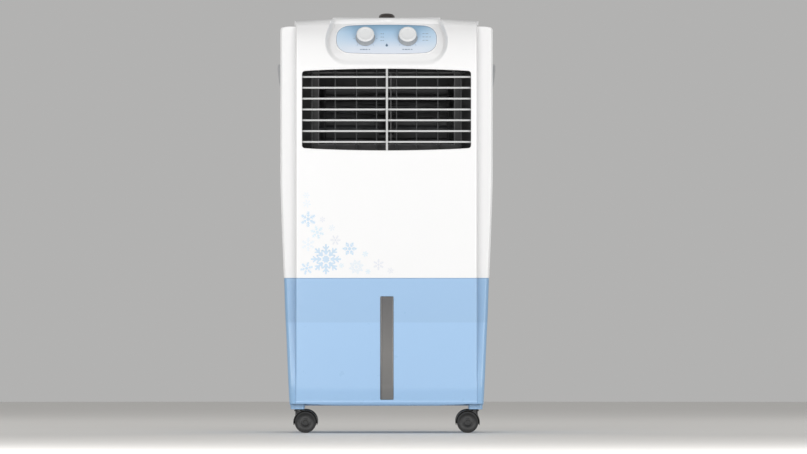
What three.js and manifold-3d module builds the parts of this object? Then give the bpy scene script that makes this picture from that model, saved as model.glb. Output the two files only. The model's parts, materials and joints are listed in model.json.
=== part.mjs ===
// Tower-style evaporative air cooler on castors.
// Units: millimetres. X to the right, Y to the back (the air outlet faces -Y), Z up.
// Origin: on the floor, under the middle of the cooler's outline.
import * as THREE from 'three';
import { mergeVertices } from 'three/addons/utils/BufferGeometryUtils.js';
import Module from 'manifold-3d';

const wasm = await Module();
wasm.setup();

// ---------------------------------------------------------------- driving dimensions
const HALF_W = 196.3;            // half width of the upper body
const Y_FACE = -175;             // front face of the raised panel
const Y_FLANGE = -157;           // front plane of the side flanges
const Y_BACK = 160;              // rear edge of the body shell
const Y_GRILLE = 175;            // outside of the rear grille
const PANEL_HW = 168;            // half width of the raised front panel
const WALL = 3;                  // moulded wall thickness
const SEAM_Z = 286.8;            // parting line between tank and upper body
const SHOULDER_Z = 752;          // top of the side shoulders
const DECK_Z = 766;              // top deck beside the lid
const LID_Z = 768.8;             // top of the lid
const GRIP_Z = 777;              // top of the lid grip
const TANK_Z = 50.3;             // underside of the tank
const GAP = 0.3;                 // fit gap between neighbouring mouldings

const OUT_HW = 156.8;            // air outlet, half width
const OUT_Z0 = 526.4, OUT_Z1 = 670.4;
const OUT_BOW = 4.2;             // outlet's top and bottom edges bow by this much
const LOUVRE_Z = [658.8, 638.7, 618.6, 598.6, 578.6, 558.6, 538.5];
const LOUVRE_Y = -160, LOUVRE_CHORD = 17, LOUVRE_T = 3.6, LOUVRE_ARM = 9;
const VANE_X = [-138, -95, -55.5, -18.5, 18.5, 55.5, 95, 138];
const VANE_Y = -122, VANE_CHORD = 46, VANE_ARM = 15;

const TILT = 34 * Math.PI / 180; // control panel leans back by this angle
const TILT_Z0 = 690;             // where the sloping console leaves the front face
const PANEL_CZ = 728.2;          // height of the control panel's middle
const KNOB_X = 39.2, KNOB_V = 2; // knob centres on the console, across and up the slope

const FAN_Y = -8, FAN_Z = 564, FAN_R = 80;

const CASTOR_X = 163, CASTOR_Y = 130, CASTOR_TRAIL = 12.8, WHEEL_R = 20, WHEEL_Z = 20 * Math.cos(Math.PI / 24);

// ---------------------------------------------------------------- small solid toolkit
function toSolid(geometry) {
  let g = geometry.clone();
  g.deleteAttribute('normal');
  g.deleteAttribute('uv');
  g = mergeVertices(g, 1e-4);
  const idx = g.index.array, tri = [];
  for (let i = 0; i < idx.length; i += 3) {
    const [a, b, c] = [idx[i], idx[i + 1], idx[i + 2]];
    if (a !== b && b !== c && c !== a) tri.push(a, b, c);
  }
  return new wasm.Manifold(new wasm.Mesh({
    numProp: 3,
    vertProperties: new Float32Array(g.attributes.position.array),
    triVerts: new Uint32Array(tri),
  }));
}
function toGeometry(solid) {
  const m = solid.getMesh();
  const p = new Float32Array(m.numVert * 3);
  for (let i = 0; i < m.numVert; i++) {
    for (let k = 0; k < 3; k++) p[3 * i + k] = m.vertProperties[i * m.numProp + k];
  }
  const g = new THREE.BufferGeometry();
  g.setAttribute('position', new THREE.BufferAttribute(p, 3));
  g.setIndex(new THREE.BufferAttribute(new Uint32Array(m.triVerts), 1));
  g.computeVertexNormals();
  return g;
}
const join = (...s) => s.reduce((a, b) => a.add(b));
const cut = (a, ...s) => s.reduce((r, b) => r.subtract(b), a);

function box(x0, x1, y0, y1, z0, z1) {
  const g = new THREE.BoxGeometry(x1 - x0, y1 - y0, z1 - z0);
  g.translate((x0 + x1) / 2, (y0 + y1) / 2, (z0 + z1) / 2);
  return toSolid(g);
}
// cylinder along an axis from a to b, centred on the other two coordinates (in x, y, z order)
function cyl(axis, r, a, b, c1, c2, seg = 16, r2 = r) {
  const g = new THREE.CylinderGeometry(r2, r, b - a, seg);
  g.translate(0, (a + b) / 2, 0);
  if (axis === 'x') { g.rotateZ(-Math.PI / 2); g.translate(0, c1, c2); }
  if (axis === 'y') g.translate(c1, 0, c2);
  if (axis === 'z') { g.rotateX(Math.PI / 2); g.translate(c1, c2, 0); }
  return toSolid(g);
}
// polygon pushed along an axis: 'x' takes (y, z) points, 'y' takes (x, z), 'z' takes (x, y)
function prism(axis, points, a, b, holes = []) {
  const shape = new THREE.Shape(points.map(p => new THREE.Vector2(p[0], p[1])));
  for (const h of holes) shape.holes.push(new THREE.Path(h.map(p => new THREE.Vector2(p[0], p[1]))));
  const g = new THREE.ExtrudeGeometry(shape, { depth: b - a, bevelEnabled: false });
  const m = new THREE.Matrix4();
  if (axis === 'x') m.makeBasis(new THREE.Vector3(0, 1, 0), new THREE.Vector3(0, 0, 1), new THREE.Vector3(1, 0, 0)).setPosition(a, 0, 0);
  if (axis === 'y') m.makeBasis(new THREE.Vector3(1, 0, 0), new THREE.Vector3(0, 0, 1), new THREE.Vector3(0, -1, 0)).setPosition(0, b, 0);
  if (axis === 'z') m.setPosition(0, 0, a);
  g.applyMatrix4(m);
  return toSolid(g);
}
function arc(cx, cy, r, a0, a1, n) {
  const out = [];
  for (let i = 0; i <= n; i++) {
    const a = (a0 + (a1 - a0) * i / n) * Math.PI / 180;
    out.push([cx + r * Math.cos(a), cy + r * Math.sin(a)]);
  }
  return out;
}
function roundRect(x0, x1, y0, y1, r, n = 4) {
  return [
    ...arc(x0 + r, y0 + r, r, 180, 270, n), ...arc(x1 - r, y0 + r, r, 270, 360, n),
    ...arc(x1 - r, y1 - r, r, 0, 90, n), ...arc(x0 + r, y1 - r, r, 90, 180, n),
  ];
}
// closed solid through plan outlines of equal point count, listed upwards as {z, pts}
function loft(levels) {
  const n = levels[0].pts.length, pos = [], tri = [];
  for (const l of levels) for (const p of l.pts) pos.push(p[0], p[1], l.z);
  for (let k = 0; k + 1 < levels.length; k++) {
    for (let i = 0; i < n; i++) {
      const j = (i + 1) % n, a = k * n + i, b = k * n + j, c = a + n, d = b + n;
      tri.push(a, b, d, a, d, c);
    }
  }
  const cap = (l, off, flip) => {
    for (const f of THREE.ShapeUtils.triangulateShape(l.pts.map(p => new THREE.Vector2(p[0], p[1])), [])) {
      if (flip) tri.push(off + f[2], off + f[1], off + f[0]); else tri.push(off + f[0], off + f[1], off + f[2]);
    }
  };
  cap(levels[0], 0, true);
  cap(levels.at(-1), (levels.length - 1) * n, false);
  const g = new THREE.BufferGeometry();
  g.setAttribute('position', new THREE.BufferAttribute(new Float32Array(pos), 3));
  g.setIndex(tri);
  return toSolid(g);
}
function lathe(profile, seg) {
  return new THREE.LatheGeometry(profile.map(p => new THREE.Vector2(p[0], p[1])), seg);
}
const lerp = (a, b, t) => a + (b - a) * t;
function table(rows, z) {
  if (z <= rows[0][0]) return rows[0][1];
  for (let i = 0; i + 1 < rows.length; i++) {
    if (z <= rows[i + 1][0]) return lerp(rows[i][1], rows[i + 1][1], (z - rows[i][0]) / (rows[i + 1][0] - rows[i][0]));
  }
  return rows.at(-1)[1];
}

// ---------------------------------------------------------------- materials
const mat = (color, roughness, metalness = 0) => new THREE.MeshStandardMaterial({ color, roughness, metalness });
const WHITE = mat(0xf7f7f6, 0.35), BLUE = mat(0xa6c9ea, 0.35), SKY = mat(0xbfd8ea, 0.3);
const KNOB = mat(0xe6e8ea, 0.4), SMOKE = mat(0x77736f, 0.25), SLAT = mat(0xe2e3e2, 0.4);
const BLACK = mat(0x1b1b1c, 0.5), DARK = mat(0x2e2e30, 0.55), GREY = mat(0x8d9093, 0.5);
const STEEL = mat(0xb9bcc0, 0.35, 0.9), ZINC = mat(0x9aa0a4, 0.4, 0.8), PAD = mat(0x8a6a45, 0.95);
const HOSE = mat(0xdfe3e4, 0.4), NET = mat(0x3b4044, 0.8), GRIP = mat(0x474240, 0.5);

const cooler = new THREE.Group();
function add(name, shape, material, parent = cooler) {
  const g = shape instanceof THREE.BufferGeometry ? shape : toGeometry(shape);
  const mesh = new THREE.Mesh(g, material);
  mesh.name = name;
  parent.add(mesh);
  return mesh;
}

// ---------------------------------------------------------------- body outline tables
// half width of the body against height
const SIDE = [[50, 179.2], [68, 180.4], [98, 181.9], [128, 183.2], [187, 185.7], [216, 187.4], [276, 189.3],
  [305, 190.7], [364, 193.1], [460, HALF_W], [800, HALF_W]];
const halfWidth = z => table(SIDE, z);
// plan outline of flanged body with the raised panel in front
function plan(hw, yFlange, yRear, bw, yFace, rf, rr, rb, rc) {
  const d = yFlange - yFace, k = Math.min(1, d / (rb + rc + 0.2));
  rb *= k; rc *= k;
  return [
    ...arc(-hw + rf, yFlange + rf, rf, 180, 270, 2),
    ...arc(-bw - rc, yFlange - rc, rc, 90, 0, 1), ...arc(-bw + rb, yFace + rb, rb, 180, 270, 2),
    ...arc(bw - rb, yFace + rb, rb, 270, 360, 2), ...arc(bw + rc, yFlange - rc, rc, 180, 90, 1),
    ...arc(hw - rf, yFlange + rf, rf, 270, 360, 2),
    ...arc(hw - rr, yRear - rr, rr, 0, 90, 3), ...arc(-hw + rr, yRear - rr, rr, 90, 180, 3),
  ];
}

// ---------------------------------------------------------------- water tank
const FLANGE_Y = [[50, -168], [80, -171.5], [98, -171], [128, -167], [166, -161], [200, Y_FLANGE], [800, Y_FLANGE]];
const FACE_Y = [[50.3, -167.5], [54, -170.5], [57, -172], [60, -171.6], [80, -174.6], [205, -173.6], [287, -173.4]];
function tankLevel(z, inset) {
  const t = inset;
  const rr = 16 - t;
  return { z, pts: plan(halfWidth(z) - t, Math.max(table(FLANGE_Y, z), table(FACE_Y, z) + 1) + t, Y_BACK - 4 + 4 * (z - 50) / 237 - t,
    PANEL_HW - t, table(FACE_Y, z) + t, 7 - Math.min(t, 3), rr, 3.2, 1.4) };
}
const tankZ = [TANK_Z, 52.2, 57, 60, 80, 98, 128, 166, 202, SEAM_Z - GAP];
const tankOuter = loft(tankZ.map((z, i) => tankLevel(z, i === 0 ? 2.4 : i === 1 ? 0.9 : 0)));
const tankInner = loft([TANK_Z + WALL + 0.5, 80, 98, 128, 166, 202, SEAM_Z + 1].map(z => tankLevel(z, WALL)));
// the lower rim rises a little towards the sides
const rimCut = (s) => prism('y', s > 0 ? [[80, 49], [205, 49], [205, 54.4], [150, 53.7]] : [[-80, 49], [-150, 53.7], [-205, 54.4], [-205, 49]], -185, -120);
let tankShell = tankOuter.subtract(tankInner).subtract(rimCut(1)).subtract(rimCut(-1));
const GAUGE = { x: 0.7, hw: 12.2, z0: 61.6, z1: 252.7 };
const gaugeBlock = (g) => box(GAUGE.x - GAUGE.hw - g, GAUGE.x + GAUGE.hw + g, -185, -150, GAUGE.z0 - g, GAUGE.z1 + g);
const gauge = tankShell.intersect(gaugeBlock(0)).translate(0, -0.4, 0);
tankShell = tankShell.subtract(gaugeBlock(GAP));
// castor feet: a block under each corner and a closed socket inside the tank
for (const sx of [-1, 1]) {
  for (const sy of [-1, 1]) {
    const x = sx * CASTOR_X, y = sy * CASTOR_Y, outer = sx * 177.8, inner = sx * 151.9;
    const foot = prism('z', roundRect(Math.min(outer, inner), Math.max(outer, inner), y - 15, y + 15, 4, 2), 43.6, 54.5);
    tankShell = join(tankShell, foot, cyl('z', 7.5, 50, 67, x, y, 10)).subtract(cyl('z', 4.8, 40, 63, x, y, 10));
  }
}
// drain outlet low on the back and filling mouth high on the back
const DRAIN = { x: 120, z: 72 }, FILL = { x: 0, hw: 46, z0: 226, z1: 268 };
const yTankBack = z => Y_BACK - 4 + 4 * (z - 50) / 237;
tankShell = join(tankShell, cyl('y', 12, yTankBack(DRAIN.z) - 9, yTankBack(DRAIN.z) + 4, DRAIN.x, DRAIN.z, 20))
  .subtract(cyl('y', 7.6, 120, 175, DRAIN.x, DRAIN.z, 20))
  .subtract(box(-FILL.hw, FILL.hw, 140, 175, FILL.z0, FILL.z1));
add('water_tank', tankShell, BLUE);
add('water_window', gauge, SMOKE);

const drainG = toGeometry(join(cyl('y', 7.1, yTankBack(DRAIN.z) - 6, yTankBack(DRAIN.z) + 4.4, DRAIN.x, DRAIN.z, 20),
  cyl('y', 12.5, yTankBack(DRAIN.z) + 4.4, yTankBack(DRAIN.z) + 12, DRAIN.x, DRAIN.z, 20),
  box(DRAIN.x - 10, DRAIN.x + 10, yTankBack(DRAIN.z) + 11, yTankBack(DRAIN.z) + 16, DRAIN.z - 2, DRAIN.z + 2)));
add('drain_plug', drainG, WHITE);

// filling door: a tilting chute hinged on its lower edge
const fy = yTankBack(FILL.z0);
const door = join(
  box(-FILL.hw - 4, FILL.hw + 4, fy + 1.4, fy + 4.4, FILL.z0 + 0.6, FILL.z1 + 5),
  box(-FILL.hw + 1, -FILL.hw + 3, fy - 26, fy + 2, FILL.z0 + 1.2, FILL.z1 - 6),
  box(FILL.hw - 3, FILL.hw - 1, fy - 26, fy + 2, FILL.z0 + 1.2, FILL.z1 - 6),
  box(-12, 12, fy + 4, fy + 9, FILL.z1 - 3, FILL.z1 + 1));
add('fill_door', cut(door, prism('x', [[fy - 27, FILL.z0 + 14], [fy - 4, FILL.z1 - 4], [fy - 4, FILL.z1 + 9], [fy - 27, FILL.z1 + 9]], -60, 60)), BLUE);

// ---------------------------------------------------------------- upper body
// the front corners of the shell are square because the front cover closes them
function shellLoft(zs, t) {
  return loft(zs.map(([z, top]) => {
    const hw = halfWidth(z) - t - top, yb = Y_BACK - t - top, r = Math.max(3, 14 - t);
    return { z, pts: [[-hw, Y_FLANGE + 3.3], [hw, Y_FLANGE + 3.3], ...arc(hw - r, yb - r, r, 0, 90, 3), ...arc(-hw + r, yb - r, r, 90, 180, 3)] };
  }));
}
const TOPROUND = [[SHOULDER_Z - 9, 0], [SHOULDER_Z - 5, 0.4], [SHOULDER_Z - 2.6, 1.6], [SHOULDER_Z - 1.2, 3.6], [SHOULDER_Z, 10]];
const shellOuter = shellLoft([[SEAM_Z, 0], [305, 0], [364, 0], [460, 0], ...TOPROUND], 0);
const shellInner = shellLoft([[SEAM_Z - 1, 0], [305, 0], [364, 0], [460, 0], [SHOULDER_Z - WALL - 4, 0], [SHOULDER_Z - WALL, 4]], WALL)
  .translate(0, -0.5, 0).add(box(-180, 180, -160, -150, 286, 740));
// raised deck over the top, crowned towards its sides
const deckTop = (dz) => [[-PANEL_HW + dz, 700], [PANEL_HW - dz, 700], [PANEL_HW - dz, 758 - dz], [166.5 - dz, 761.4 - dz], [163.5, 762.6 - dz],
  [105, DECK_Z - dz], [-105, DECK_Z - dz], [-163.5, 762.6 - dz], [-166.5 + dz, 761.4 - dz], [-PANEL_HW + dz, 758 - dz]];
const DECK_Y0 = -119.7, DECK_Y1 = 138;
const deckSide = (d) => [[DECK_Y0 + (d ? -5 : 0), 745], [DECK_Y0 + (d ? -5 : 0), 790], [DECK_Y1 - 22 - d, 790], [DECK_Y1 - 18 - d, DECK_Z + 0.5 - d], [DECK_Y1 - 6 - d, 762 - d], [DECK_Y1 - d, 752 - d], [DECK_Y1 - d, 745]];
const deck = prism('y', deckTop(0), -200, 200).intersect(prism('x', deckSide(0), -200, 200));
const deckIn = prism('y', deckTop(WALL), -200, 200).intersect(prism('x', [[-125, 740], [-125, 763], [DECK_Y1 - 22, 763], [DECK_Y1 - 10, 756], [DECK_Y1 - 4, 748], [DECK_Y1 - 4, 740]], -200, 200));
let upper = shellOuter.add(deck).subtract(shellInner).subtract(deckIn)
  .subtract(box(-PANEL_HW - GAP, PANEL_HW + GAP, -170, DECK_Y0, 700, 780))
  .subtract(box(-170, 170, -160, 40, 700, 750));
// lid opening with a supporting ledge below it
const LID = { hw: 100, y0: -118.8, y1: 55 };
upper = upper.subtract(box(-LID.hw - 0.8, LID.hw + 0.8, LID.y0 - 2, LID.y1 + 0.8, 740, 790));
const ledge = box(-LID.hw - 6, LID.hw + 6, -119.6, LID.y1 + 6, 758.4, 763.1).subtract(box(-LID.hw - 0.8, LID.hw + 0.8, -125, LID.y1 + 0.8, 760.4, 770))
  .subtract(box(-91.5, 91.5, -112, 47.5, 750, 770));
upper = upper.add(ledge);
// rear opening frame that carries the grille
const REAR = { hw: 158, z0: 306, z1: 728 };
const rearRing = prism('y', roundRect(-176, 176, 290, 747, 10, 3), 155.6, 159.7).subtract(prism('y', roundRect(-REAR.hw, REAR.hw, REAR.z0, REAR.z1, 8, 3), 150, 165));
upper = upper.add(rearRing).subtract(prism('y', roundRect(-REAR.hw, REAR.hw, REAR.z0, REAR.z1, 8, 3), 150, 165));
// cord gland hole low at the right of the back, screw holes, recesses for the side grips
const GLAND = { x: 167, z: 318 };
upper = upper.subtract(cyl('y', 6.2, 150, 170, GLAND.x, GLAND.z, 16));
const SCREW = [[-166.5, 520], [166.5, 520]];
for (const [x, z] of SCREW) upper = upper.subtract(cyl('y', 2.4, 150, 170, x, z, 10));
const HANDLE = { y0: -62, y1: 62, z0: 640, z1: 684 };
for (const s of [-1, 1]) {
  upper = upper.subtract(prism('x', roundRect(HANDLE.y0 - GAP, HANDLE.y1 + GAP, HANDLE.z0 - GAP, HANDLE.z1 + GAP, 12, 3), s > 0 ? 185 : -205, s > 0 ? 205 : -185));
}
add('upper_housing', upper, WHITE);

// carrying grips: recessed cups with a lip standing out of the side wall
for (const [name, s] of [['side_grip_left', -1], ['side_grip_right', 1]]) {
  const outer = prism('x', roundRect(HANDLE.y0, HANDLE.y1, HANDLE.z0, HANDLE.z1, 11.7, 3), 172, 196.3)
    .add(prism('y', [[190, 682.5], [190, 640.5], [197.4, 640.5], [199.6, 652], [202, 672], [202, 680], [200.5, 682.5]], HANDLE.y0 + 14, HANDLE.y1 - 14));
  const hollow = prism('y', [[174.5, 676.5], [174.5, 645], [180, 639], [210, 632], [210, 655], [199.3, 662], [196, 676.5]], HANDLE.y0 + 17, HANDLE.y1 - 17);
  let grip = outer.subtract(hollow);
  if (s < 0) grip = grip.mirror([1, 0, 0]);
  add(name, grip, GREY);
}

// ---------------------------------------------------------------- front cover and console
const consoleY = z => Y_FACE + (z - TILT_Z0) * Math.tan(TILT);
const faceProfile = [[Y_FACE, SEAM_Z], [Y_FACE, 700], [-174.5, 716], [-173, 732], [-170.4, 746], [-166.6, 757], [-162, 763.5], [-156, 768], [-150, 772], [-120, 772], [-120, 704], [-153.9, 704], [-153.9, SEAM_Z]];
const bulge = prism('x', faceProfile, -200, 200).intersect(prism('z', roundRect(-PANEL_HW, PANEL_HW, Y_FACE, -100, 3.4, 3), 280, 790));
const flange = loft([[SEAM_Z, 0], [305, 0], [364, 0], [460, 0], ...TOPROUND].map(([z, top]) => {
  const hw = halfWidth(z) - top, r = 5;
  return { z, pts: [...arc(-hw + r, Y_FLANGE + r, r, 180, 270, 3), ...arc(hw - r, Y_FLANGE + r, r, 270, 360, 3), [hw, -151.6], [-hw, -151.6]] };
})).intersect(box(-250, 250, -160, -153.9, 280, 790));
// console recess: rounded trough whose floor leans back
const SCOOP_HW = 110;
function onPanel(solid) { // local x right, y up the slope, z outwards -> the sloping console plane at the panel's middle
  const m = new THREE.Matrix4().makeBasis(new THREE.Vector3(1, 0, 0), new THREE.Vector3(0, Math.sin(TILT), Math.cos(TILT)), new THREE.Vector3(0, -Math.cos(TILT), Math.sin(TILT)))
    .setPosition(0, consoleY(PANEL_CZ), PANEL_CZ);
  return solid.transform(Array.from(m.elements));
}
const slope = z => (z - PANEL_CZ) / Math.cos(TILT);
const scoop = onPanel(prism('z', [...arc(-SCOOP_HW + 34, slope(684) + 30, 34, 195, 262, 5), ...arc(SCOOP_HW - 34, slope(684) + 30, 34, 278, 345, 5), [SCOOP_HW - 7, slope(790)], [-SCOOP_HW + 7, slope(790)]], 0, 60));
const inner = prism('x', [[Y_FACE + WALL, SEAM_Z - 5], [Y_FACE + WALL, 683], [consoleY(700) + 4.4, 700], [consoleY(761.4) + 4.4, 761.4], [-110, 761.4], [-110, 701], [-145, 701], [-145, SEAM_Z - 5]], -PANEL_HW + WALL, PANEL_HW - WALL);
const outTop = (o) => [...arc(-OUT_HW + 6.5 - o, OUT_Z0 + 6.5 - o, 6.5, 180, 262, 3), [-90, OUT_Z0 - 2.8 - o], [0, OUT_Z0 - OUT_BOW - o], [90, OUT_Z0 - 2.8 - o],
  ...arc(OUT_HW - 6.5 + o, OUT_Z0 + 6.5 - o, 6.5, 278, 360, 3), ...arc(OUT_HW - 6.5 + o, OUT_Z1 - 6.5 + o, 6.5, 0, 82, 3), [90, OUT_Z1 + 2.8 + o], [0, OUT_Z1 + OUT_BOW + o], [-90, OUT_Z1 + 2.8 + o],
  ...arc(-OUT_HW + 6.5 - o, OUT_Z1 - 6.5 + o, 6.5, 98, 180, 3)];
let cover = bulge.intersect(prism('y', [[-PANEL_HW - 1, 280], [PANEL_HW + 1, 280], [PANEL_HW + 1, 757], ...deckTop(0).slice(3, 9), [-PANEL_HW - 1, 757]], -250, 0))
  .add(flange).subtract(scoop).subtract(inner).subtract(prism('y', outTop(0), -180, -160));
// pocket for the control panel and the shaft holes
const pill = (g, r0) => { // pill with softly bowed long edges
  const hw = 93 + g, hh = 33 + g, r = r0 + g;
  return [...arc(-hw + r, -hh + 2 + r, r, 180, 266, 6), [-40, -hh + 0.3], [0, -hh], [40, -hh + 0.3], ...arc(hw - r, -hh + 2 + r, r, 274, 360, 6),
    ...arc(hw - r, hh - 2 - r, r, 0, 86, 6), [40, hh - 0.3], [0, hh], [-40, hh - 0.3], ...arc(-hw + r, hh - 2 - r, r, 94, 180, 6)];
};
cover = cover.subtract(onPanel(prism('z', pill(GAP, 26), -1.4, 10)));
for (const s of [-1, 1]) cover = cover.subtract(onPanel(cyl('z', 6.5, -12, 5, s * KNOB_X, KNOB_V, 14)));
add('front_cover', cover, WHITE);

let panel = prism('z', pill(0, 26), -1.1, 1.4);
for (const s of [-1, 1]) panel = panel.subtract(cyl('z', 5, -12, 5, s * KNOB_X, KNOB_V, 14));
add('control_panel', onPanel(panel), SKY);

// knobs with their spindles, and the rotary switches behind the console wall
const knobShape = cut(join(
  toSolid(lathe([[0, 1.9], [18, 1.9], [18, 5], [17.2, 6], [16.4, 15.2], [15, 16.6], [0, 16.9]], 24).rotateX(Math.PI / 2)),
  cyl('z', 3, -20, 3, 0, 0, 12)), box(-1.1, 1.1, 8.5, 15.2, 16.2, 18));
for (const [name, s] of [['speed_knob', -1], ['mode_knob', 1]]) add(name, onPanel(knobShape.translate(s * KNOB_X, KNOB_V, 0)), KNOB);
const switchShape = join(prism('z', roundRect(-17, 17, -15, 15, 3, 2), -26, -8), cyl('z', 6, -8.5, -6.2, 0, 0, 16), box(-6, 6, -13, -10, -32, -25))
  .subtract(cyl('z', 3.6, -21.5, 0, 0, 0, 12));
for (const [name, s] of [['speed_switch', -1], ['mode_switch', 1]]) add(name, onPanel(switchShape.translate(s * KNOB_X, KNOB_V, 0)), BLACK);

// ---------------------------------------------------------------- lid, its grip and the ice tray
add('ice_lid', join(prism('z', roundRect(-LID.hw, LID.hw, LID.y0 + 0.3, LID.y1, 3, 3), 764.9, LID_Z)), WHITE);
add('lid_grip', lathe([[0, LID_Z + GAP], [14.6, LID_Z + GAP], [15, LID_Z + 1.6], [14, 773], [10, 775.8], [0, GRIP_Z]], 20).rotateX(Math.PI / 2).translate(0.4, -98, 0), GRIP);
const tray = join(prism('z', roundRect(-LID.hw, LID.hw, -118, LID.y1, 3, 2), 761, 764.3), prism('z', roundRect(-90, 90, -88, 46, 8, 3), 706, 762))
  .subtract(prism('z', roundRect(-88, 88, -86, 44, 6, 3), 708.5, 770));
let trayHoles = tray;
for (const x of [-60, -20, 20, 60]) trayHoles = trayHoles.subtract(cyl('z', 2.5, 700, 712, x, 36, 8));
add('ice_tray', trayHoles, WHITE);

// ---------------------------------------------------------------- air outlet: frame, louvres and swing vanes
const FR = { hw: 161.2, z0: 518.6, z1: 679.2, y0: -171.6, y1: -92, t: 3 };
let frame = box(-FR.hw, FR.hw, FR.y0, FR.y1, FR.z0, FR.z1)
  .subtract(box(-FR.hw + FR.t, FR.hw - FR.t, FR.y0 - 1, FR.y1 - FR.t, FR.z0 + FR.t, FR.z1 - FR.t))
  .subtract(box(-127, 127, FR.y0, FR.y1 + 1, 533, FR.z1 - FR.t));
for (const z of LOUVRE_Z) frame = frame.subtract(cyl('x', 2.3, -165, 165, LOUVRE_Y, z, 6));
for (const x of VANE_X) frame = frame.subtract(cyl('z', 2.3, 510, 690, x, VANE_Y, 6));
const CRANK = { x: 118, y: -107 + 0 };
frame = frame.subtract(cyl('z', 3.2, 670, 690, CRANK.x, CRANK.y, 12));
add('outlet_frame', frame, DARK);
add('centre_bar', join(box(-1.2, 2.6, -174.6, -171.5, 522.8, 674), box(-0.9, 2.3, -171.7, -170, 521.9, 531), box(-0.9, 2.3, -171.7, -170, 667, 675.9)), SLAT);

// one louvre about its own pivot: thin aerofoil slat with end pins and a notched rear edge with a cross pin
const lx = OUT_HW + 0.6;
const slat = [];
for (let i = 0; i <= 3; i++) slat.push([-LOUVRE_CHORD / 2 + 1.8 - 1.8 * Math.cos((i / 3 - 0.5) * Math.PI), 1.8 * Math.sin((i / 3 - 0.5) * Math.PI)]);
const slatProfile = [...slat, [LOUVRE_CHORD / 2, 0.7], [LOUVRE_CHORD / 2, -0.7]].reverse();
const louvre = join(prism('x', slatProfile, -lx, lx), cyl('x', 1.5, -lx - 2.6, lx + 2.6, 0, 0, 6))
  .subtract(box(4, 12, 2, 12, -3, 3)).add(cyl('x', 1.1, 3.5, 12.5, LOUVRE_ARM - 2.2, 0, 6));
LOUVRE_Z.forEach((z, i) => add(`louvre_${i + 1}`, louvre.translate(0, LOUVRE_Y, z), SLAT));
const tieY = LOUVRE_Y + LOUVRE_ARM - 2.2;
let tie = box(7, 9, tieY - 4, tieY + 3.2, LOUVRE_Z.at(-1) - 5, LOUVRE_Z[0] + 5);
for (const z of LOUVRE_Z) tie = tie.subtract(box(6, 10, tieY - 2.3, tieY + 1.5, z - 1.6, z + 1.6));
add('louvre_tie_bar', tie, DARK);

// one vertical vane about its pivot
const VZ0 = 527.5, VZ1 = 663.8;
const vane = join(
  prism('z', [[-0.6, -VANE_CHORD / 2], [0.6, -VANE_CHORD / 2], [1.1, -4], [1.1, 6], [0.5, VANE_CHORD / 2], [-0.5, VANE_CHORD / 2], [-1.1, 6], [-1.1, -4]], VZ0, VZ1),
  cyl('z', 1.5, FR.z0 + 0.6, FR.z1 - 0.6, 0, 0, 6), cyl('z', 1.4, VZ1 - 3, 670.5, 0, VANE_ARM, 6));
VANE_X.forEach((x, i) => add(`vane_${i + 1}`, vane.translate(x, VANE_Y, 0), BLACK));
const linkY = VANE_Y + VANE_ARM;
let link = box(-146, 146, linkY - 6.5, linkY + 6.5, 665.6, 668.2);
for (const x of VANE_X) link = link.subtract(box(x - 2.2, x + 2.2, linkY - 4.6, linkY + 2.4, 660, 672));
link = link.subtract(box(CRANK.x - 3, CRANK.x + 3, linkY - 5, linkY + 5, 660, 672)).add(box(CRANK.x - 7, CRANK.x + 7, linkY - 6.5, linkY - 5, 665.6, 668.2));
add('vane_link_bar', link, DARK);
// synchronous swing motor on top of the frame with its crank under the frame's roof
add('swing_motor', join(cyl('z', 22, FR.z1 + GAP, FR.z1 + 15, CRANK.x, CRANK.y, 28), prism('z', [...arc(CRANK.x - 28, CRANK.y, 5, 90, 270, 4), ...arc(CRANK.x + 28, CRANK.y, 5, -90, 90, 4)], FR.z1 + GAP, FR.z1 + 1.8),
  box(CRANK.x - 8, CRANK.x + 8, CRANK.y + 18, CRANK.y + 27, FR.z1 + 2, FR.z1 + 13)).subtract(cyl('z', 2.8, 670, FR.z1 + 9, CRANK.x, CRANK.y, 12)), GREY);
add('swing_crank', join(cyl('z', 2.5, 671.6, FR.z1 + 8, CRANK.x, CRANK.y, 12), cyl('z', 7.5, 671.4, 674.6, CRANK.x, CRANK.y, 20), cyl('z', 1.5, 668.9, 672, CRANK.x + 4.8, CRANK.y, 8)), WHITE);

// ---------------------------------------------------------------- blower
const spiral = (o) => {
  const pts = [];
  for (let a = 200; a <= 450; a += 25) pts.push([FAN_Y + (84 + o + 28 * (a - 200) / 250) * Math.cos(a * Math.PI / 180), FAN_Z + (84 + o + 28 * (a - 200) / 250) * Math.sin(a * Math.PI / 180)]);
  return pts;
};
const scrollOut = [...spiral(2), [FR.y1 + GAP, FAN_Z + 114], [FR.y1 + GAP, 531]];
const scrollIn = [...spiral(0), [FR.y1 - 5, FAN_Z + 112], [FR.y1 - 5, 533.2]];
let scroll = prism('x', scrollOut, -127, 127).subtract(prism('x', scrollIn, -125, 125))
  .subtract(cyl('x', 71, -130, 130, FAN_Y, FAN_Z, 24));
add('blower_scroll', scroll, DARK);

const rotor = [];
const BLADES = 20, RW = 116;
let wheel = join(
  cyl('x', FAN_R, -RW, -RW + 3, 0, 0, 20).subtract(cyl('x', 66, -RW - 1, -RW + 4, 0, 0, 20)),
  cyl('x', FAN_R, RW - 3, RW, 0, 0, 20).subtract(cyl('x', 66, RW - 4, RW + 1, 0, 0, 20)),
  cyl('x', 70, -1.5, 1.5, 0, 0, 20), cyl('x', 12, -14, 14, 0, 0, 12));
const bladeG = prism('x', [[67.6, 0], [72.6, 3.6], [78.0, 4.9], [77.6, 6.4], [71.8, 5.2], [66.8, 1.2]], -RW + 1, RW - 1);
for (let i = 0; i < BLADES; i++) rotor.push(bladeG.rotate([i * 360 / BLADES, 0, 0]));
wheel = join(wheel, ...rotor).subtract(cyl('x', 4.3, -20, 20, 0, 0, 12));
add('blower_wheel', wheel.translate(0, FAN_Y, FAN_Z), BLACK);
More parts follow.
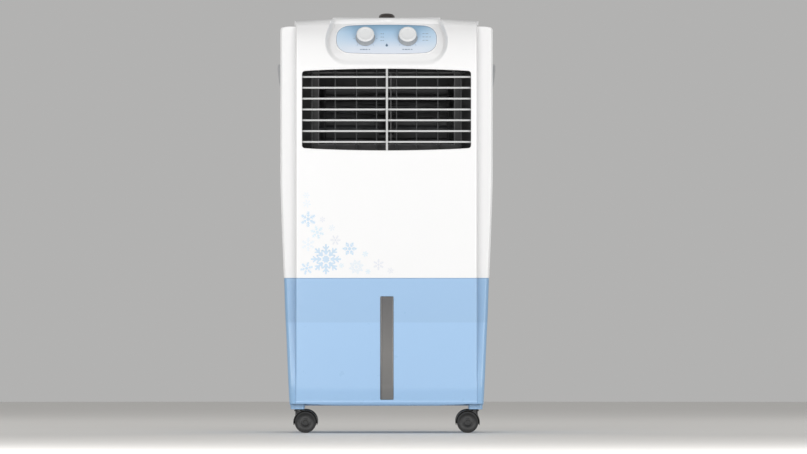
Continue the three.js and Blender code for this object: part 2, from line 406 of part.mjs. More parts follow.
add('fan_shaft', cyl('x', 4, -134, 138, FAN_Y, FAN_Z, 16), STEEL);
const spider = (x0, x1, rHub, bore) => {
  let s = cyl('x', rHub, x0, x1, 0, 0, 14).add(cyl('x', 83, x0, x1, 0, 0, 20).subtract(cyl('x', 76, x0 - 1, x1 + 1, 0, 0, 20)));
  for (const a of [90, 210, 330]) s = s.add(box(x0, x1, -6, 6, rHub - 4, 78).rotate([a - 90, 0, 0]));
  return s.subtract(cyl('x', bore, x0 - 1, x1 + 1, 0, 0, 10));
};
add('motor_bracket', spider(127.3, 130.3, 30, 8).translate(0, FAN_Y, FAN_Z), ZINC);
add('bearing_bracket', spider(-130.3, -127.3, 18, 4.4).add(cyl('x', 11, -138, -130, 0, 0, 12).subtract(cyl('x', 4.6, -134.5, -120, 0, 0, 10))).translate(0, FAN_Y, FAN_Z), ZINC);
add('fan_motor', join(cyl('x', 46, 130.6, 172, FAN_Y, FAN_Z, 24), cyl('x', 40, 172, 178, FAN_Y, FAN_Z, 24), box(140, 166, FAN_Y - 14, FAN_Y + 14, FAN_Z + 42, FAN_Z + 56)).subtract(cyl('x', 4.6, 120, 141, FAN_Y, FAN_Z, 16)), GREY);

// ---------------------------------------------------------------- water circuit and cooling pad
add('water_pump', join(prism('z', roundRect(-166, -112, 62, 108, 5, 2), 57.2, 108), prism('z', roundRect(-160, -118, 66, 104, 5, 2), 107, 116), cyl('z', 6.5, 115, 128, -150, 85, 14)).subtract(cyl('z', 3.2, 112, 140, -150, 85, 12)), BLACK);
const hoseCurve = new THREE.CatmullRomCurve3([[-150, 85, 128.5], [-150, 85, 145], [-152, 85, 175], [-163, 86, 225], [-167, 87, 285], [-168, 88, 400], [-168, 89, 560], [-168, 92, 690], [-167, 100, 722], [-166, 114, 735], [-160, 125, 738], [-153.4, 127, 738]].map(p => new THREE.Vector3(...p)));
const hoseShape = new THREE.Shape(arc(0, 0, 5.4, 0, 315, 7).map(p => new THREE.Vector2(...p)));
hoseShape.holes.push(new THREE.Path(arc(0, 0, 3.6, 0, 300, 5).map(p => new THREE.Vector2(...p))));
add('water_hose', toSolid(new THREE.ExtrudeGeometry(hoseShape, { steps: 26, bevelEnabled: false, extrudePath: hoseCurve })), HOSE);
let dist = box(-150, 150, 106, 150, 722, 744).subtract(box(-147, 147, 109, 147, 725, 750)).subtract(cyl('x', 3.4, -155, -140, 127, 738, 12));
for (let x = -135; x <= 135; x += 30) dist = dist.subtract(cyl('z', 1.8, 715, 730, x, 128, 6));
add('water_distributor', dist, WHITE);
add('cooling_pad', prism('x', [[103, 300], [152.5, 300], [152.5, 719.5], [103, 719.5]], -150, 150), PAD);
// dust net in its own thin frame
const netHoles = [];
for (const x of [-98, 0, 98]) for (const z of [375, 516, 657]) netHoles.push(roundRect(x - 44, x + 44, z - 64, z + 64, 4, 1));
add('dust_filter', prism('y', roundRect(-154, 154, 309, 725, 6, 2), 155.9, 158.4, netHoles), NET);
// rear grille with sloping slats
const gOut = roundRect(-178, 178, 293, 744, 12, 3), gIn = [[-150, 318], [150, 318], [150, 718], [-150, 718]];
let grille = prism('y', gOut, Y_BACK + GAP, 167).add(prism('y', roundRect(-174, 174, 297, 740, 10, 3), 166, Y_GRILLE - 3))
  .add(prism('y', roundRect(-158, 158, 311, 726, 9, 3), 171, Y_GRILLE)).subtract(prism('y', gIn, 150, 190));
const bars = [];
for (let z = 333; z < 712; z += 26) bars.push(prism('x', [[161.2, z + 5.2], [172.4, z - 5], [173.9, z - 3.4], [162.7, z + 6.8]], -151, 151));
for (const x of [0]) bars.push(box(x - 1.5, x + 1.5, 160.6, 164.5, 317, 719));
grille = join(grille, ...bars);
for (const [x, z] of SCREW) grille = grille.subtract(cyl('y', 2.4, 150, 190, x, z, 10)).subtract(cyl('y', 4.9, 165.4, 190, x, z, 14));
grille = grille.subtract(cyl('y', 11.5, 150, 190, GLAND.x, GLAND.z, 16));
add('rear_grille', grille, WHITE);
SCREW.forEach(([x, z], i) => add(i ? 'grille_screw_right' : 'grille_screw_left', join(cyl('y', 1.9, 151, 165, x, z, 10), cyl('y', 4.2, 164.9, 165.7, x, z, 14).translate(0, 0.8, 0), cyl('y', 1.9, 164, 166, x, z, 10))
  .subtract(box(x - 0.5, x + 0.5, 165.9, 170, z - 3, z + 3)), STEEL));
add('cord_gland', join(cyl('y', 5.8, 150, 163, GLAND.x, GLAND.z, 16), cyl('y', 10.5, 160.3, 168, GLAND.x, GLAND.z, 18, 8.5), cyl('y', 8.5, 149.5, 155.2, GLAND.x, GLAND.z, 6)).subtract(cyl('y', 3.2, 140, 180, GLAND.x, GLAND.z, 12)), BLACK);

// ---------------------------------------------------------------- castors
// built around the swivel axis, wheel trailing towards -X, axle along Y
const hood = [...arc(0, 0, 22.5, -14, 194, 10), ...arc(0, 0, 21.2, 194, -14, 10)];
const castorFork = join(
  prism('y', hood, -16.4, 16.4),
  prism('y', [...arc(0, 0, 21.6, -6, 186, 6), [-6, -5], [6, -5]], -3, 3)
).translate(-CASTOR_TRAIL, 0, WHEEL_Z)
  .add(cyl('z', 6.4, WHEEL_Z - 5, 41.2, 0, 0, 12)).add(cyl('z', 4, 40, 61, 0, 0, 10)).add(cyl('z', 8, 39.5, 42.8, 0, 0, 14))
  .subtract(cyl('y', 3.5, -20, 20, -CASTOR_TRAIL, WHEEL_Z, 10));
// one flat of each tread is turned down, so the wheels stand on a face
const wheelPair = join(cyl('y', WHEEL_R, -16.6, -7.6, 0, 0, 24), cyl('y', WHEEL_R, 7.6, 16.6, 0, 0, 24), cyl('y', 2.9, -10, 10, 0, 0, 8)).rotate([0, 7.5, 0]);
const castors = [['front_left', -1, -1, 180], ['front_right', 1, -1, 0], ['rear_left', -1, 1, 180], ['rear_right', 1, 1, 0]];
for (const [name, sx, sy, turn] of castors) {
  const g = new THREE.Group();
  g.position.set(sx * CASTOR_X, sy * CASTOR_Y, 0);
  g.rotation.z = turn * Math.PI / 180;
  cooler.add(g);
  add(`castor_fork_${name}`, castorFork, BLACK, g);
  const w = add(`castor_wheels_${name}`, wheelPair, DARK, g);
  w.position.set(-CASTOR_TRAIL, 0, WHEEL_Z);
}

export default cooler;
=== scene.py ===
import bpy, bmesh, math, json
from mathutils import Vector, Matrix

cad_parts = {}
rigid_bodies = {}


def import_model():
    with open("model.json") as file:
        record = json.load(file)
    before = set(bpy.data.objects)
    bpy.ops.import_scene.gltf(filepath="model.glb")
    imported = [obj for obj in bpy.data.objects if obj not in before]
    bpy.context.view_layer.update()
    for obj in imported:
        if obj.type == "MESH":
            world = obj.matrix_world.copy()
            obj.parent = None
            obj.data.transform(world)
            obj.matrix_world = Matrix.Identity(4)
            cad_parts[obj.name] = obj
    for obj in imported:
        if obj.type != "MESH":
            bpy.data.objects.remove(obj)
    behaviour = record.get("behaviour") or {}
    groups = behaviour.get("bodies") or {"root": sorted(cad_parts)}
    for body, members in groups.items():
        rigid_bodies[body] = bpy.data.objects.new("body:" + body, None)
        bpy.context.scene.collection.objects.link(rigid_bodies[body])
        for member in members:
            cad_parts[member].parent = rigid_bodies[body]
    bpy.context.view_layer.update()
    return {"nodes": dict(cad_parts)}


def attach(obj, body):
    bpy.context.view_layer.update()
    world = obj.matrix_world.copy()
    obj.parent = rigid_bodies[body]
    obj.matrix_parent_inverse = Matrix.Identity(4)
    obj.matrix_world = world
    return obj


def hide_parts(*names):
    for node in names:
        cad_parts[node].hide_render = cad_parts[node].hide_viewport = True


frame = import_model()
NODES = frame["nodes"]
MM = 0.001

# ------------------------------------------------------------------ sizes in mm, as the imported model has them
HALF_W, Y_FACE, Y_FLANGE, Y_BACK, Y_GRILLE = 196.3, -175.0, -157.0, 160.0, 175.0
PANEL_HW, SEAM_Z, SHOULDER_Z, DECK_Z, LID_Z, GRIP_Z, TANK_Z = 168.0, 286.8, 752.0, 766.0, 768.8, 777.0, 50.3
OUT_HW, OUT_Z0, OUT_Z1, OUT_BOW = 156.8, 526.4, 670.4, 4.2
TOPS = [(743, 0.0), (745, 0.12), (746.8, 0.35), (748, 0.75), (749, 1.25), (749.8, 1.9), (750.3, 2.7), (750.7, 3.7), (751.1, 5.4), (752, 10.0)]
LOUVRE_Z = [658.8, 638.7, 618.6, 598.6, 578.6, 558.6, 538.5]
LOUVRE_Y = -160.0
TILT = math.radians(34); TILT_Z0 = 690.0; PANEL_CZ = 728.2; KNOB_X = 39.2; KNOB_V = 2.0
CASTOR_X, CASTOR_Y, TRAIL = 163.0, 130.0, 12.8
CASTOR_TRAIL = 12.8; WHEEL_R = 20.0; WHEEL_Z = 20 * math.cos(math.pi / 24)
SIDE = [(50, 179.2), (68, 180.4), (98, 181.9), (128, 183.2), (187, 185.7), (216, 187.4), (276, 189.3), (305, 190.7), (364, 193.1), (460, HALF_W), (800, HALF_W)]


def table(rows, z):
    if z <= rows[0][0]: return rows[0][1]
    for (a, va), (b, vb) in zip(rows, rows[1:]):
        if z <= b: return va + (vb - va) * (z - a) / (b - a)
    return rows[-1][1]


def smooth_table(rows, z, w=16.0):
    return sum(table(rows, z + w * k / 4) for k in range(-4, 5)) / 9


def smoothstep(a, b, v):
    t = min(1.0, max(0.0, (v - a) / (b - a)))
    return t * t * (3 - 2 * t)


def console_y(z): return Y_FACE + (z - TILT_Z0) * math.tan(TILT)


# ------------------------------------------------------------------ camera: level, far back, at the middle of the height
cam_data = bpy.data.cameras.new("camera")
cam = bpy.data.objects.new("camera", cam_data)
bpy.context.scene.collection.objects.link(cam)
CAM_D = 40.0
cam.location = (0.0314, Y_FACE * MM - CAM_D, 0.3811)
cam.rotation_euler = (math.radians(90), 0, 0)
cam_data.sensor_width = 36.0
cam_data.lens = 36.0 * CAM_D / (807 * 0.00185)
cam_data.clip_end = 200.0
bpy.context.scene.camera = cam


# ------------------------------------------------------------------ materials
def new_mat(name):
    m = bpy.data.materials.new(name)
    m.use_nodes = True
    nt = m.node_tree
    return m, nt, nt.nodes["Principled BSDF"]


def node(nt, kind, **props):
    n = nt.nodes.new(kind)
    for k, v in props.items(): setattr(n, k, v)
    return n


def moulded(name, color, rough=0.3, spec=0.5, coat=0.0, grain=2600.0, bump=0.03, vary=0.02, rough_vary=0.06, metallic=0.0, wave=0.0, edge_tone=None):
    """Injection-moulded or coated surface: slight tone variation, uneven gloss, and a fine grain with a long soft ripple."""
    m, nt, bsdf = new_mat(name)
    L = nt.links
    bsdf.inputs["Specular IOR Level"].default_value = spec
    bsdf.inputs["Metallic"].default_value = metallic
    if coat:
        bsdf.inputs["Coat Weight"].default_value = coat
        bsdf.inputs["Coat Roughness"].default_value = 0.12
    tc = node(nt, "ShaderNodeTexCoord")
    big = node(nt, "ShaderNodeTexNoise"); big.inputs["Scale"].default_value = 9.0; big.inputs["Detail"].default_value = 3.0
    L.new(tc.outputs["Object"], big.inputs["Vector"])
    ramp = node(nt, "ShaderNodeValToRGB")
    ramp.color_ramp.elements[0].position, ramp.color_ramp.elements[1].position = 0.3, 0.7
    ramp.color_ramp.elements[0].color = tuple(c * (1 - vary) for c in color) + (1,)
    ramp.color_ramp.elements[1].color = tuple(min(1, c * (1 + vary * 0.6)) for c in color) + (1,)
    L.new(big.outputs["Fac"], ramp.inputs["Fac"])
    last = ramp.outputs["Color"]
    # convex edges, picked out by pointiness, are mixed toward a second tone, lighter than the black nylon base
    if edge_tone:
        geo = node(nt, "ShaderNodeNewGeometry")
        pr = node(nt, "ShaderNodeValToRGB")
        pr.color_ramp.elements[0].position, pr.color_ramp.elements[1].position = 0.52, 0.62
        pr.color_ramp.elements[0].color, pr.color_ramp.elements[1].color = (0, 0, 0, 1), (1, 1, 1, 1)
        L.new(geo.outputs["Pointiness"], pr.inputs["Fac"])
        mix = node(nt, "ShaderNodeMix", data_type="RGBA")
        L.new(pr.outputs["Color"], mix.inputs["Factor"])
        L.new(last, mix.inputs["A"]); mix.inputs["B"].default_value = tuple(edge_tone) + (1,)
        last = mix.outputs["Result"]
    L.new(last, bsdf.inputs["Base Color"])
    med = node(nt, "ShaderNodeTexNoise"); med.inputs["Scale"].default_value = 55.0; med.inputs["Detail"].default_value = 4.0
    L.new(tc.outputs["Object"], med.inputs["Vector"])
    rr = node(nt, "ShaderNodeMapRange")
    rr.inputs["To Min"].default_value = max(0.02, rough - rough_vary); rr.inputs["To Max"].default_value = rough + rough_vary
    L.new(med.outputs["Fac"], rr.inputs["Value"]); L.new(rr.outputs["Result"], bsdf.inputs["Roughness"])
    fine = node(nt, "ShaderNodeTexNoise"); fine.inputs["Scale"].default_value = grain; fine.inputs["Detail"].default_value = 2.0
    L.new(tc.outputs["Object"], fine.inputs["Vector"])
    b1 = node(nt, "ShaderNodeBump"); b1.inputs["Strength"].default_value = bump; b1.inputs["Distance"].default_value = 0.0004
    L.new(fine.outputs["Fac"], b1.inputs["Height"])
    if wave:
        b2 = node(nt, "ShaderNodeBump"); b2.inputs["Strength"].default_value = wave; b2.inputs["Distance"].default_value = 0.002
        L.new(big.outputs["Fac"], b2.inputs["Height"]); L.new(b2.outputs["Normal"], b1.inputs["Normal"])
    L.new(b1.outputs["Normal"], bsdf.inputs["Normal"])
    return m


WHITE = moulded("white_plastic", (0.91, 0.91, 0.915), rough=0.3, coat=0.25, bump=0.015, vary=0.003, rough_vary=0.015)
BLUE = moulded("blue_plastic", (0.360, 0.572, 0.850), rough=0.28, coat=0.3, bump=0.015, vary=0.003, rough_vary=0.015)
SLAT = moulded("slat_plastic", (0.69, 0.70, 0.70), rough=0.34, coat=0.1, bump=0.04, vary=0.01)
KNOB = moulded("knob_plastic", (0.80, 0.81, 0.82), rough=0.36, bump=0.05, vary=0.01, grain=3200)
# painted shade: dark grey for the knob's side wall, standing for the shade it sits in
KNOB_SIDE_SHADE = moulded("knob_side_shade", (0.37, 0.39, 0.41), rough=0.4, bump=0.05, vary=0.02)
BLACK = moulded("black_plastic", (0.040, 0.040, 0.041), rough=0.42, bump=0.12, vary=0.1, grain=1800)
DUCT = moulded("duct_plastic", (0.046, 0.046, 0.047), rough=0.5, bump=0.12, vary=0.08, grain=1800)
SCROLLM = moulded("scroll_plastic", (0.20, 0.20, 0.205), rough=0.5, bump=0.10, vary=0.06, grain=1800)
WHEELM = moulded("blower_plastic", (0.12, 0.12, 0.123), rough=0.45, bump=0.10, vary=0.08, grain=1800)
BARM = moulded("bar_plastic", (0.55, 0.555, 0.555), rough=0.36, bump=0.04, vary=0.01)
DARK = moulded("dark_plastic", (0.080, 0.080, 0.082), rough=0.48, bump=0.12, vary=0.08, grain=1800)
GREY = moulded("grey_plastic", (0.30, 0.31, 0.32), rough=0.42, bump=0.10, vary=0.03, grain=2000)
NYLON = moulded("castor_nylon", (0.010, 0.010, 0.011), rough=0.24, bump=0.05, vary=0.1, grain=1500, edge_tone=(0.03, 0.03, 0.03))
DISC = moulded("wheel_disc", (0.009, 0.0088, 0.0088), rough=0.42, bump=0.06, vary=0.06, grain=1500)
TREAD = moulded("wheel_tread", (0.030, 0.030, 0.030), rough=0.62, spec=0.35, bump=0.3, vary=0.15, grain=900)
GRIPM = moulded("grip_plastic", (0.034, 0.027, 0.024), rough=0.46, bump=0.08, vary=0.05)
STEEL = moulded("bright_steel", (0.60, 0.61, 0.63), rough=0.26, metallic=1.0, bump=0.05, vary=0.04, grain=2200)
ZINC = moulded("zinc_plate", (0.45, 0.47, 0.48), rough=0.38, metallic=1.0, bump=0.10, vary=0.12, grain=700)
ENAMEL = moulded("motor_enamel", (0.10, 0.105, 0.11), rough=0.36, bump=0.08, vary=0.05)
HOSEM = moulded("hose_vinyl", (0.70, 0.74, 0.76), rough=0.3, bump=0.04, vary=0.03)
PADM = moulded("cellulose", (0.30, 0.165, 0.075), rough=0.9, spec=0.2, bump=0.5, vary=0.25, grain=900)
NETM = moulded("net_fibre", (0.03, 0.034, 0.038), rough=0.7, spec=0.3, bump=0.3, vary=0.2)
PRINT = moulded("print_ink", (0.10, 0.17, 0.26), rough=0.45, bump=0.02, vary=0.04)
PRINT_G = moulded("print_grey", (0.30, 0.38, 0.47), rough=0.45, bump=0.02, vary=0.04)


def gradient_film():
    """Printed console film: sky blue at the top, fading to pale lavender at the lower edge, paler at both ends."""
    m, nt, bsdf = new_mat("console_film")
    L = nt.links
    tc = node(nt, "ShaderNodeTexCoord")
    sep = node(nt, "ShaderNodeSeparateXYZ"); L.new(tc.outputs["Object"], sep.inputs["Vector"])
    mr = node(nt, "ShaderNodeMapRange"); mr.inputs["From Min"].default_value = 0.7005; mr.inputs["From Max"].default_value = 0.7560
    L.new(sep.outputs["Z"], mr.inputs["Value"])
    cr = node(nt, "ShaderNodeValToRGB")
    cr.color_ramp.elements[0].position = 0.0; cr.color_ramp.elements[0].color = (0.76, 0.81, 0.90, 1)
    cr.color_ramp.elements[1].position = 1.0; cr.color_ramp.elements[1].color = (0.21, 0.38, 0.54, 1)
    for p, c in ((0.22, (0.73, 0.80, 0.90, 1)), (0.48, (0.56, 0.71, 0.88, 1)), (0.75, (0.42, 0.62, 0.83, 1))):
        e = cr.color_ramp.elements.new(p); e.color = c
    L.new(mr.outputs["Result"], cr.inputs["Fac"])
    ax = node(nt, "ShaderNodeMath", operation="ABSOLUTE"); L.new(sep.outputs["X"], ax.inputs[0])
    mx = node(nt, "ShaderNodeMapRange"); mx.inputs["From Min"].default_value = 0.060; mx.inputs["From Max"].default_value = 0.094
    mx.inputs["To Max"].default_value = 0.5
    L.new(ax.outputs["Value"], mx.inputs["Value"])
    mix = node(nt, "ShaderNodeMix", data_type="RGBA")
    L.new(mx.outputs["Result"], mix.inputs["Factor"]); L.new(cr.outputs["Color"], mix.inputs["A"]); mix.inputs["B"].default_value = (0.66, 0.77, 0.86, 1)
    L.new(mix.outputs["Result"], bsdf.inputs["Base Color"])
    noi = node(nt, "ShaderNodeTexNoise"); noi.inputs["Scale"].default_value = 2400; L.new(tc.outputs["Object"], noi.inputs["Vector"])
    rr = node(nt, "ShaderNodeMapRange"); rr.inputs["To Min"].default_value = 0.24; rr.inputs["To Max"].default_value = 0.34
    L.new(noi.outputs["Fac"], rr.inputs["Value"]); L.new(rr.outputs["Result"], bsdf.inputs["Roughness"])
    b = node(nt, "ShaderNodeBump"); b.inputs["Strength"].default_value = 0.03; b.inputs["Distance"].default_value = 0.0003
    L.new(noi.outputs["Fac"], b.inputs["Height"]); L.new(b.outputs["Normal"], bsdf.inputs["Normal"])
    return m


def shade_by_height(m, rows, lo=0.05, hi=0.29):
    """Painted shade by height: the front of the moulding is darkened a little from one band to the next, by height."""
    nt = m.node_tree; L = nt.links
    bsdf = next(n for n in nt.nodes if n.type == "BSDF_PRINCIPLED")
    src = bsdf.inputs["Base Color"].links[0].from_socket
    tc = node(nt, "ShaderNodeTexCoord")
    sep = node(nt, "ShaderNodeSeparateXYZ"); L.new(tc.outputs["Object"], sep.inputs["Vector"])
    mr = node(nt, "ShaderNodeMapRange"); mr.inputs["From Min"].default_value = lo; mr.inputs["From Max"].default_value = hi
    L.new(sep.outputs["Z"], mr.inputs["Value"])
    cr = node(nt, "ShaderNodeValToRGB"); L.new(mr.outputs["Result"], cr.inputs["Fac"])
    e = cr.color_ramp.elements
    e[0].position, e[1].position = (rows[0][0] - lo) / (hi - lo), (rows[-1][0] - lo) / (hi - lo)
    e[0].color = rows[0][1]; e[1].color = rows[-1][1]
    for z, c in rows[1:-1]:
        k = e.new((z - lo) / (hi - lo)); k.color = c
    mix = node(nt, "ShaderNodeMix", data_type="RGBA", blend_type="MULTIPLY")
    # the painted shade is kept to the front faces, fading out between y -0.150 and -0.110 m
    fr = node(nt, "ShaderNodeMapRange"); fr.inputs["From Min"].default_value = -0.150; fr.inputs["From Max"].default_value = -0.110
    fr.inputs["To Min"].default_value = 1.0; fr.inputs["To Max"].default_value = 0.0
    L.new(sep.outputs["Y"], fr.inputs["Value"]); L.new(fr.outputs["Result"], mix.inputs["Factor"])
    L.new(src, mix.inputs["A"]); L.new(cr.outputs["Color"], mix.inputs["B"]); L.new(mix.outputs["Result"], bsdf.inputs["Base Color"])


g_ = lambda v: (v, v * 0.997, v * 0.99, 1)
# copy of the white plastic carrying painted shade: darker towards the top of the front cover (tint 0.85 at z 0.752 m)
FRONT_SHADEM = moulded("front_plastic_shaded", (0.91, 0.91, 0.915), rough=0.3, coat=0.25, bump=0.015, vary=0.003, rough_vary=0.015)
w_ = lambda v: (v, v, v, 1)
shade_by_height(FRONT_SHADEM, [(0.672, w_(1.0)), (0.700, w_(0.95)), (0.722, w_(0.91)), (0.752, w_(0.85))], 0.60, 0.80)
# painted shade: the tank front is darker (tint 0.93 to 0.94) above z 0.205 m
shade_by_height(BLUE, [(0.050, g_(1.0)), (0.2035, g_(1.0)), (0.2055, g_(0.93)), (0.287, g_(0.94))])


def shade_flanks(m, tint):
    """Painted shade: the front flanks beside the raised panel are darkened a little below the panel's tone."""
    nt = m.node_tree; L = nt.links
    bsdf = next(n for n in nt.nodes if n.type == "BSDF_PRINCIPLED")
    src = bsdf.inputs["Base Color"].links[0].from_socket
    tc = node(nt, "ShaderNodeTexCoord")
    sep = node(nt, "ShaderNodeSeparateXYZ"); L.new(tc.outputs["Object"], sep.inputs["Vector"])
    ax = node(nt, "ShaderNodeMath", operation="ABSOLUTE"); L.new(sep.outputs["X"], ax.inputs[0])
    fx = node(nt, "ShaderNodeMapRange"); fx.inputs["From Min"].default_value = 0.1670; fx.inputs["From Max"].default_value = 0.1700
    L.new(ax.outputs["Value"], fx.inputs["Value"])
    fy = node(nt, "ShaderNodeMapRange"); fy.inputs["From Min"].default_value = -0.150; fy.inputs["From Max"].default_value = -0.110
    fy.inputs["To Min"].default_value = 1.0; fy.inputs["To Max"].default_value = 0.0
    L.new(sep.outputs["Y"], fy.inputs["Value"])
    mul = node(nt, "ShaderNodeMath", operation="MULTIPLY"); L.new(fx.outputs["Result"], mul.inputs[0]); L.new(fy.outputs["Result"], mul.inputs[1])
    mix = node(nt, "ShaderNodeMix", data_type="RGBA", blend_type="MULTIPLY")
    L.new(mul.outputs["Value"], mix.inputs["Factor"]); L.new(src, mix.inputs["A"]); mix.inputs["B"].default_value = tint
    L.new(mix.outputs["Result"], bsdf.inputs["Base Color"])


# painted shade: the tank's front flanks outside |x| 0.170 m are tinted down to about 0.8
shade_flanks(BLUE, (0.80, 0.84, 0.85, 1))
# painted shade: the side flanges beside the raised panel are a greyer copy of the white plastic, standing for the shade
# along the step
FLANGE_SHADEM = moulded("flange_plastic_shaded", (0.835, 0.835, 0.84), rough=0.3, coat=0.25, bump=0.015, vary=0.003, rough_vary=0.015)


def smoke_window():
    """Smoked level window: grey, with a painted light-and-shade gradient: a little lighter in the middle, darker along
    its left and top.
    """
    m, nt, bsdf = new_mat("smoke_window")
    L = nt.links
    tc = node(nt, "ShaderNodeTexCoord")
    sep = node(nt, "ShaderNodeSeparateXYZ"); L.new(tc.outputs["Object"], sep.inputs["Vector"])
    mr = node(nt, "ShaderNodeMapRange"); mr.inputs["From Min"].default_value = 0.0616; mr.inputs["From Max"].default_value = 0.2527
    L.new(sep.outputs["Z"], mr.inputs["Value"])
    cr = node(nt, "ShaderNodeValToRGB")
    cr.color_ramp.elements[0].color = (0.175, 0.172, 0.168, 1); cr.color_ramp.elements[1].color = (0.135, 0.132, 0.134, 1)
    e = cr.color_ramp.elements.new(0.45); e.color = (0.215, 0.208, 0.200, 1)
    L.new(mr.outputs["Result"], cr.inputs["Fac"])
    mx = node(nt, "ShaderNodeMapRange"); mx.inputs["From Min"].default_value = -0.0115; mx.inputs["From Max"].default_value = 0.0125
    L.new(sep.outputs["X"], mx.inputs["Value"])
    cx = node(nt, "ShaderNodeValToRGB")
    cx.color_ramp.elements[0].color = (0.55, 0.55, 0.55, 1); cx.color_ramp.elements[1].color = (0.92, 0.92, 0.92, 1)
    e = cx.color_ramp.elements.new(0.22); e.color = (0.95, 0.95, 0.95, 1)
    L.new(mx.outputs["Result"], cx.inputs["Fac"])
    mix = node(nt, "ShaderNodeMix", data_type="RGBA", blend_type="MULTIPLY"); mix.inputs["Factor"].default_value = 1.0
    L.new(cr.outputs["Color"], mix.inputs["A"]); L.new(cx.outputs["Color"], mix.inputs["B"])
    L.new(mix.outputs["Result"], bsdf.inputs["Base Color"])
    noi = node(nt, "ShaderNodeTexNoise"); noi.inputs["Scale"].default_value = 120; L.new(tc.outputs["Object"], noi.inputs["Vector"])
    rr = node(nt, "ShaderNodeMapRange"); rr.inputs["To Min"].default_value = 0.10; rr.inputs["To Max"].default_value = 0.2
    L.new(noi.outputs["Fac"], rr.inputs["Value"]); L.new(rr.outputs["Result"], bsdf.inputs["Roughness"])
    bsdf.inputs["Coat Weight"].default_value = 0.5
    return m


FILM = gradient_film()
GROOVE = moulded("groove_shadow", (0.20, 0.24, 0.32), rough=0.5, bump=0.02, vary=0.04)
SMOKE = smoke_window()


# ------------------------------------------------------------------ mesh helpers (all in mm)
def mesh_obj(name, verts, faces, mat=None, smooth=True, angle=35):
    me = bpy.data.meshes.new(name)
    me.from_pydata([(x * MM, y * MM, z * MM) for x, y, z in verts], [], faces)
    me.validate()
    o = bpy.data.objects.new(name, me)
    bpy.context.scene.collection.objects.link(o)
    bm = bmesh.new(); bm.from_mesh(me)
    bmesh.ops.recalc_face_normals(bm, faces=bm.faces)
    bm.to_mesh(me); bm.free()
    if mat: me.materials.append(mat)
    if smooth: shade(o, angle)
    return o


def shade(o, angle=35):
    me = o.data
    me.polygons.foreach_set("use_smooth", [True] * len(me.polygons))
    me.set_sharp_from_angle(angle=math.radians(angle))
    me.update()


def apply(o):
    dg = bpy.context.evaluated_depsgraph_get()
    me = bpy.data.meshes.new_from_object(o.evaluated_get(dg))
    o.modifiers.clear()
    old = o.data
    o.data = me
    bpy.data.meshes.remove(old)
    return o


def boolean(o, cutter, op="DIFFERENCE"):
    m = o.modifiers.new("b", "BOOLEAN"); m.operation = op; m.solver = "EXACT"; m.object = cutter
    if cutter.data.materials and op == "UNION": m.material_mode = "TRANSFER"
    apply(o)
    bpy.data.objects.remove(cutter)
    return o


def bevel(o, width, seg=2, angle=35, now=True):
    m = o.modifiers.new("bev", "BEVEL"); m.width = width * MM; m.segments = seg
    m.limit_method = "ANGLE"; m.angle_limit = math.radians(angle); m.harden_normals = False
    m.use_clamp_overlap = True
    if now: apply(o)
    return o


def weighted(o):
    m = o.modifiers.new("wn", "WEIGHTED_NORMAL"); m.keep_sharp = True; m.weight = 80
    return o


def join(objs, name):
    bm = bmesh.new()
    mats = []
    for o in objs:
        tmp = bmesh.new(); tmp.from_mesh(o.data)
        base = []
        for mt in o.data.materials:
            if mt not in mats: mats.append(mt)
            base.append(mats.index(mt))
        for f in tmp.faces: f.material_index = base[f.material_index] if base else 0
        me = bpy.data.meshes.new("t"); tmp.to_mesh(me); tmp.free(); bm.from_mesh(me); bpy.data.meshes.remove(me)
    out = bpy.data.meshes.new(name); bm.to_mesh(out); bm.free()
    for mt in mats: out.materials.append(mt)
    for o in objs: bpy.data.objects.remove(o)
    o = bpy.data.objects.new(name, out)
    bpy.context.scene.collection.objects.link(o)
    shade(o, 35)
    return o


def arc(cx, cy, r, a0, a1, n):
    return [(cx + r * math.cos(math.radians(a0 + (a1 - a0) * i / n)), cy + r * math.sin(math.radians(a0 + (a1 - a0) * i / n))) for i in range(n + 1)]


def round_rect(x0, x1, y0, y1, r, n=6):
    return arc(x0 + r, y0 + r, r, 180, 270, n) + arc(x1 - r, y0 + r, r, 270, 360, n) + arc(x1 - r, y1 - r, r, 0, 90, n) + arc(x0 + r, y1 - r, r, 90, 180, n)


def to3(axis, u, v, w):
    return {"x": (w, u, v), "y": (u, w, v), "z": (u, v, w)}[axis]


def prism(name, axis, pts, a, b, mat=None, **k):
    n = len(pts)
    verts = [to3(axis, u, v, a) for u, v in pts] + [to3(axis, u, v, b) for u, v in pts]
    faces = [list(range(n)), list(range(n, 2 * n))] + [[i, (i + 1) % n, n + (i + 1) % n, n + i] for i in range(n)]
    return mesh_obj(name, verts, faces, mat, **k)


def ring_prism(name, axis, outer, inner, a, b, mat=None, **k):
    """Flat ring between two outlines of equal point count."""
    n = len(outer)
    verts = []
    for w in (a, b):
        verts += [to3(axis, u, v, w) for u, v in outer] + [to3(axis, u, v, w) for u, v in inner]
    f = []
    for i in range(n):
        j = (i + 1) % n
        f += [[i, j, n + j, n + i], [2 * n + i, 2 * n + j, 3 * n + j, 3 * n + i], [i, j, 2 * n + j, 2 * n + i], [n + i, n + j, 3 * n + j, 3 * n + i]]
    return mesh_obj(name, verts, f, mat, **k)


def loft(name, levels, mat=None, **k):
    """levels: [(z, [(x, y)...])...], all with the same count."""
    n = len(levels[0][1]); verts = []; faces = []
    for z, pts in levels: verts += [(x, y, z) for x, y in pts]
    for l in range(len(levels) - 1):
        for i in range(n):
            j = (i + 1) % n
            faces.append([l * n + i, l * n + j, (l + 1) * n + j, (l + 1) * n + i])
    faces += [list(range(n)), list(range((len(levels) - 1) * n, len(levels) * n))]
    return mesh_obj(name, verts, faces, mat, **k)


